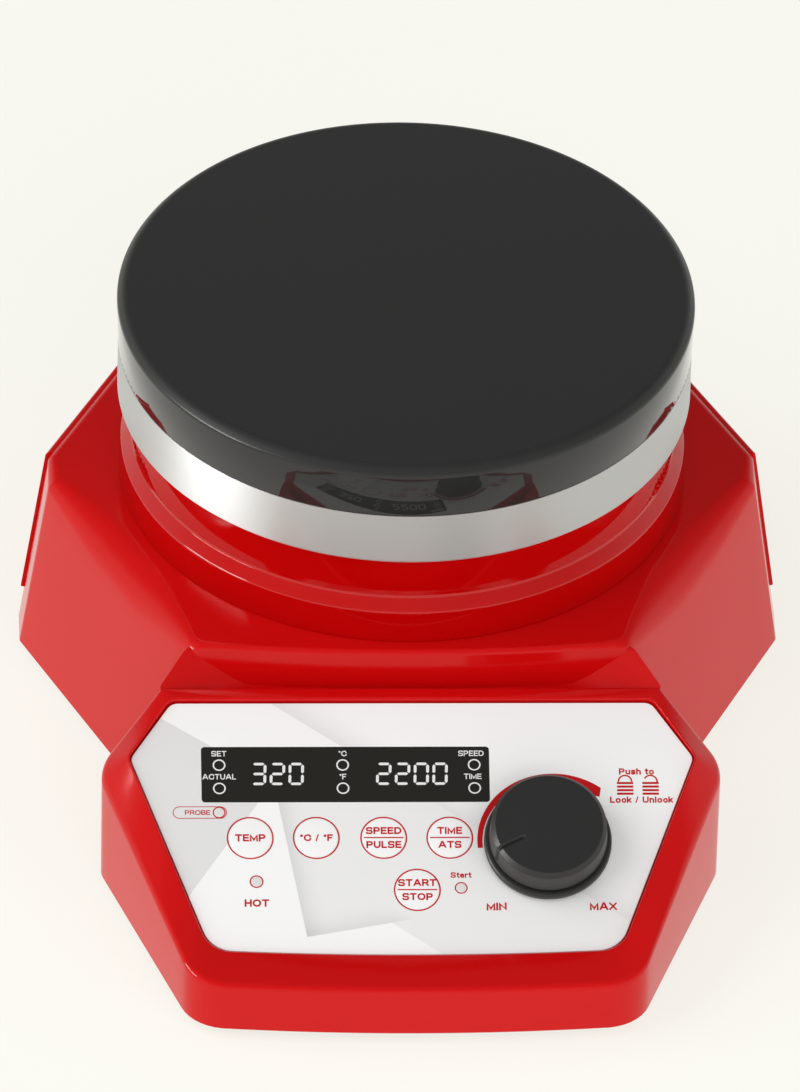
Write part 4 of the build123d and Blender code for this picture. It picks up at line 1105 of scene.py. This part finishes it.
def add_red_print():
    """Everything printed in red on the film: rings round the keys and lamps, words and marks."""
    rings = [((u, v), 5.1, 5.44) for u, v, _ in KEYS.values()]
    rings += [(PROBE_LAMP, 1.22, 1.5), (START_LAMP, 1.22, 1.5), (HOT_LAMP, 1.3, 1.62)]
    parts = [print_ring(place, inner, outer, PRINT_W) for place, inner, outer in rings]
    parts.append(lettering("PROBE", (-49.9, 3.7), 1.25, PRINT_W, 1.1, 0.17))
    circle = unit_circle(96)
    middle = (-49.35, 3.7) + np.column_stack([np.sign(circle[:, 0]) * 4.7, np.zeros(96)])
    parts.append(flat_strip(middle + circle * 1.4, middle + circle * 1.58, PRINT_W))
    words = [("HOT", -36.5, -19.6, 1.9), ("Start", 10.8, -12.5, 1.4), ("MIN", 18.9, -20.6, 2.0)]
    words += [("MAX", 43.6, -20.6, 2.0), ("Push to", 52.0, 14.1, 1.6), ("Lock / Unlock", 53.0, 6.8, 1.6)]
    parts += [lettering(text, (u, v), height, PRINT_W) for text, u, v, height in words]
    parts += padlock((49.3, 10.2), (0.0, 180.0)) + padlock((55.2, 10.2), (-6.0, 150.0))
    parts.append(knob_sweep())
    make_piece("panel_print", joined(parts), "printed_film", material=PRINT_RED)


def add_window_print():
    """Everything printed or lit in white on the window: lamp rings, words and digits."""
    w = PRINT_W + 0.02
    parts = [print_ring(place, 1.15, 1.48, w) for place in WINDOW_LAMPS]
    labels = [("SET", -44.75, 18.85), ("ACTUAL", -44.75, 12.9), ("°C", -16.1, 18.85), ("°F", -16.1, 12.9)]
    labels += [("SPEED", 13.7, 18.85), ("TIME", 14.0, 12.9)]
    parts += [lettering(text, (u, v), 1.4, w, 1.02, 0.17) for text, u, v in labels]
    for start, number in ((-35.6, "320"), (-6.6, "2200")):
        for i, digit in enumerate(number):
            parts += segment_digit(DIGITS[digit], (start + 4.35 * i, 13.6), w)
    make_piece("window_print", joined(parts), "smoked_window", material=PRINT_WHITE)


# ---------------------------------------------------------------- knob and lamps


def knob_cap_shell():
    """Turned cap whose surface is cut by a V groove along the pointer's direction.

    A point at height z and distance b from the pointer's line is lowered, or drawn in on the side,
    by max(0, depth - |b|).
    """
    near = np.radians(np.linspace(-9, 9, 73))
    rest = np.linspace(math.radians(9), 2 * math.pi - math.radians(9), 120)[1:-1]
    phase = POINTER + np.concatenate([near, rest])
    corners = [(POLE_R, 10.6), (6.2, 10.6), (8.0, 10.6), (12.45, 10.6, 0.3), (13.4, 9.5, 0.35)]
    corners += [(13.72, 3.9, 0.2), (13.0, 3.4), (7.6, 3.4), (7.6, 4.6), (POLE_R, 4.6)]
    profile = rounded_profile(corners, 4)
    rows = []
    for a, b in zip(profile, profile[1:]):
        count = 8 if np.linalg.norm(b - a) > 1.0 else 1
        rows += [a + (b - a) * i / count for i in range(count)]
    profile = np.array(rows + [profile[-1]])
    radius = profile[:, 0][:, None] * np.ones(len(phase))
    height = profile[:, 1][:, None] * np.ones(len(phase))
    along = radius * np.cos(phase - POINTER)
    beside = np.abs(radius * np.sin(phase - POINTER))
    depth = np.clip(0.62 - beside, 0, None) * np.clip((along - 6.2) / 0.8, 0, 1)
    top = np.clip((height - 9.6) / 0.9, 0, 1) * (height > 5)
    side = np.clip((radius - 12.6) / 0.5, 0, 1) * (height > 4.6)
    height = height - depth * top
    radius = radius - depth * side
    u = KNOB[0] + radius * np.cos(phase)
    v = KNOB[1] + radius * np.sin(phase)
    return shell_from_grid(on_panel(np.stack([u, v, height], -1)))


def add_knob():
    make_piece("knob_top", knob_cap_shell(), "knob_black", "knob", "knob_cap", sharp=28)
    corners = [(7.5, 1.2), (14.8, 1.2, 0.3), (14.8, 3.05, 0.8), (13.5, 3.1, 0.2)]
    corners += [(12.8, 2.75, 0.2), (12.8, 3.4), (7.5, 3.4), (7.5, 1.2)]
    rows = [disc_ring(KNOB, radius, 144)(0, height) for radius, height in rounded_profile(corners, 5)[:-1]]
    skirt = shell_from_grid(np.stack(rows), closed_rows=True)
    make_piece("knob_flange", skirt, "knob_black", "knob", "knob_skirt")


def add_lamps():
    """The film's three lamps, slightly domed."""
    parts = []
    for place in (PROBE_LAMP, START_LAMP, HOT_LAMP):
        ring = disc_ring(place, 1.18, 40)
        dome = [ring(-0.5 * (1 - math.cos(t)), 0.02 + 0.05 * math.sin(t)) for t in np.linspace(0, 1.4, 5)]
        parts.append(shell_from_grid(np.stack([ring(0, -1.2)] + dome)))
    make_piece("lamp_faces", joined(parts), "lamp_lens", node="indicator_lamps")


# ---------------------------------------------------------------- rear and feet


def refined(node, width):
    """Copy of a CAD node with merged corners and a small bevel on its sharp edges."""
    source = frame["nodes"][node]
    mesh = source.data.copy()
    mesh.name = node + "_soft"
    piece = link(node + "_soft", mesh)
    work = bmesh.new()
    work.from_mesh(mesh)
    bmesh.ops.remove_doubles(work, verts=work.verts, dist=2e-6)
    bmesh.ops.dissolve_limit(work, angle_limit=math.radians(1.0), verts=work.verts, edges=work.edges)
    work.to_mesh(mesh)
    work.free()
    mesh.shade_smooth()
    mesh.set_sharp_from_angle(angle=math.radians(30))
    bevel = piece.modifiers.new("soft_edges", "BEVEL")
    bevel.width = width * 0.001
    bevel.segments = 2
    bevel.limit_method = "ANGLE"
    bevel.angle_limit = math.radians(40)
    bevel.harden_normals = False
    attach(piece, source["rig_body"])
    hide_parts(node)
    return piece


def add_feet():
    corners = [(POLE_R, -3.0), (6.2, -3.0, 0.8), (7.0, -2.2, 0.5), (7.0, -0.05, 0.3), (3.2, -0.05)]
    profile = rounded_profile(corners + [(3.2, 1.0), (POLE_R, 1.0)], 5)
    spots = [(48.0, 52.0), (-48.0, 52.0), (44.0, -118.0), (-44.0, -118.0)]
    feet = joined([shell_from_grid(turned(profile, 64, spot)) for spot in spots])
    make_piece("feet_soft", feet, "foot_rubber", node="rubber_feet")


add_housing()
add_head()
add_panel()
add_knob()
add_lamps()
add_feet()
REAR_BEVELS = {
    "mains_inlet": 0.35, "power_switch": 0.3, "power_rocker": 0.3, "fuse_drawer": 0.2, "probe_socket": 0.25,
}
for node, width in REAR_BEVELS.items():
    refined(node, width)
refined("rod_insert", 0.15)


# ---------------------------------------------------------------- stage, lights and camera


def area_light(name, place, aim, size, power):
    """A soft rectangular light that the camera doesn't see."""
    data = bpy.data.lights.new(name, "AREA")
    data.shape = "RECTANGLE"
    data.size, data.size_y = size
    data.energy = power
    light = link(name, data)
    light.location = place
    light.rotation_euler = (Vector(aim) - Vector(place)).to_track_quat("-Z", "Y").to_euler()
    light.visible_camera = False
    return light


def add_lights():
    """A broad light from the left, a lower one in front, and a strip that only polished and satin
    surfaces reflect."""
    low = (0, 0, 0.04)
    area_light("key", (-1.15, -0.27, 1.05), low, (1.6, 1.3), 12.5).visible_glossy = False
    area_light("strip", (-1.35, -0.36, 0.3), (0, 0, 0.06), (0.7, 0.4), 13.0).visible_diffuse = False
    area_light("fill", (0.45, -1.2, 0.95), low, (1.3, 0.9), 8.0).visible_glossy = False


def add_stage():
    mesh = bpy.data.meshes.new("floor")
    half = 40.0
    corners = [(-half, -half, 0), (half, -half, 0), (half, half, 0), (-half, half, 0)]
    mesh.from_pydata(corners, [], [(0, 1, 2, 3)])
    floor = link("floor", mesh)
    material, _, shader = new_material("floor_pale")
    shader["Base Color"].default_value = (0.25, 0.25, 0.24, 1.0)
    shader["Roughness"].default_value = 0.9
    shader["Specular IOR Level"].default_value = 0.0
    shader["Emission Color"].default_value = (1.0, 1.0, 0.93, 1.0)
    shader["Emission Strength"].default_value = 0.76
    material.cycles.emission_sampling = "NONE"
    mesh.materials.append(material)


def add_world():
    """Pale room, brightest near the horizon and a little darker overhead and behind."""
    world = bpy.data.worlds.new("studio")
    bpy.context.scene.world = world
    world.use_nodes = True
    net = Net(world.node_tree)
    direction = net.add("ShaderNodeTexCoord").outputs["Generated"]
    _, back, up = net.separate(direction)
    above = net.ramp(up, 0.2, 0.6, 0.9, 0.3)
    behind = net.maths("MULTIPLY", net.ramp(back, 0.2, 0.7), net.ramp(up, 0.1, 0.35))
    level = net.maths("MULTIPLY", above, net.maths("MULTIPLY_ADD", behind, -0.4, 1.0))
    background = world.node_tree.nodes["Background"]
    background.inputs[0].default_value = (1.0, 1.0, 0.985, 1.0)
    net.wire(level, background.inputs[1])


def add_camera():
    """Long lens, nearly square-on: turned 2.65 degrees and looking down 38.25, rolled 1.56."""
    turn, down, roll = math.radians(2.65), math.radians(38.25), math.radians(1.56)
    ahead = Vector((math.sin(turn) * math.cos(down), math.cos(turn) * math.cos(down), -math.sin(down)))
    side = Vector((math.cos(turn), -math.sin(turn), 0.0))
    over = side.cross(ahead)
    right = side * math.cos(roll) + over * math.sin(roll)
    up = over * math.cos(roll) - side * math.sin(roll)
    target = Vector((-0.001168, 0.00814, 0.05018))
    distance = 5.5
    data = bpy.data.cameras.new("camera")
    data.sensor_fit = "HORIZONTAL"
    data.sensor_width = 36.0
    data.lens = 36.0 * distance / 0.18683
    data.clip_start = 0.5
    data.clip_end = 100.0
    camera = link("camera", data)
    turn_matrix = Matrix((right, up, -ahead)).transposed().to_4x4()
    camera.matrix_world = Matrix.Translation(target - ahead * distance) @ turn_matrix
    bpy.context.scene.camera = camera


add_stage()
add_world()
add_lights()
add_camera()
scene = bpy.context.scene
scene.view_settings.view_transform = "Standard"
scene.cycles.max_bounces = 8
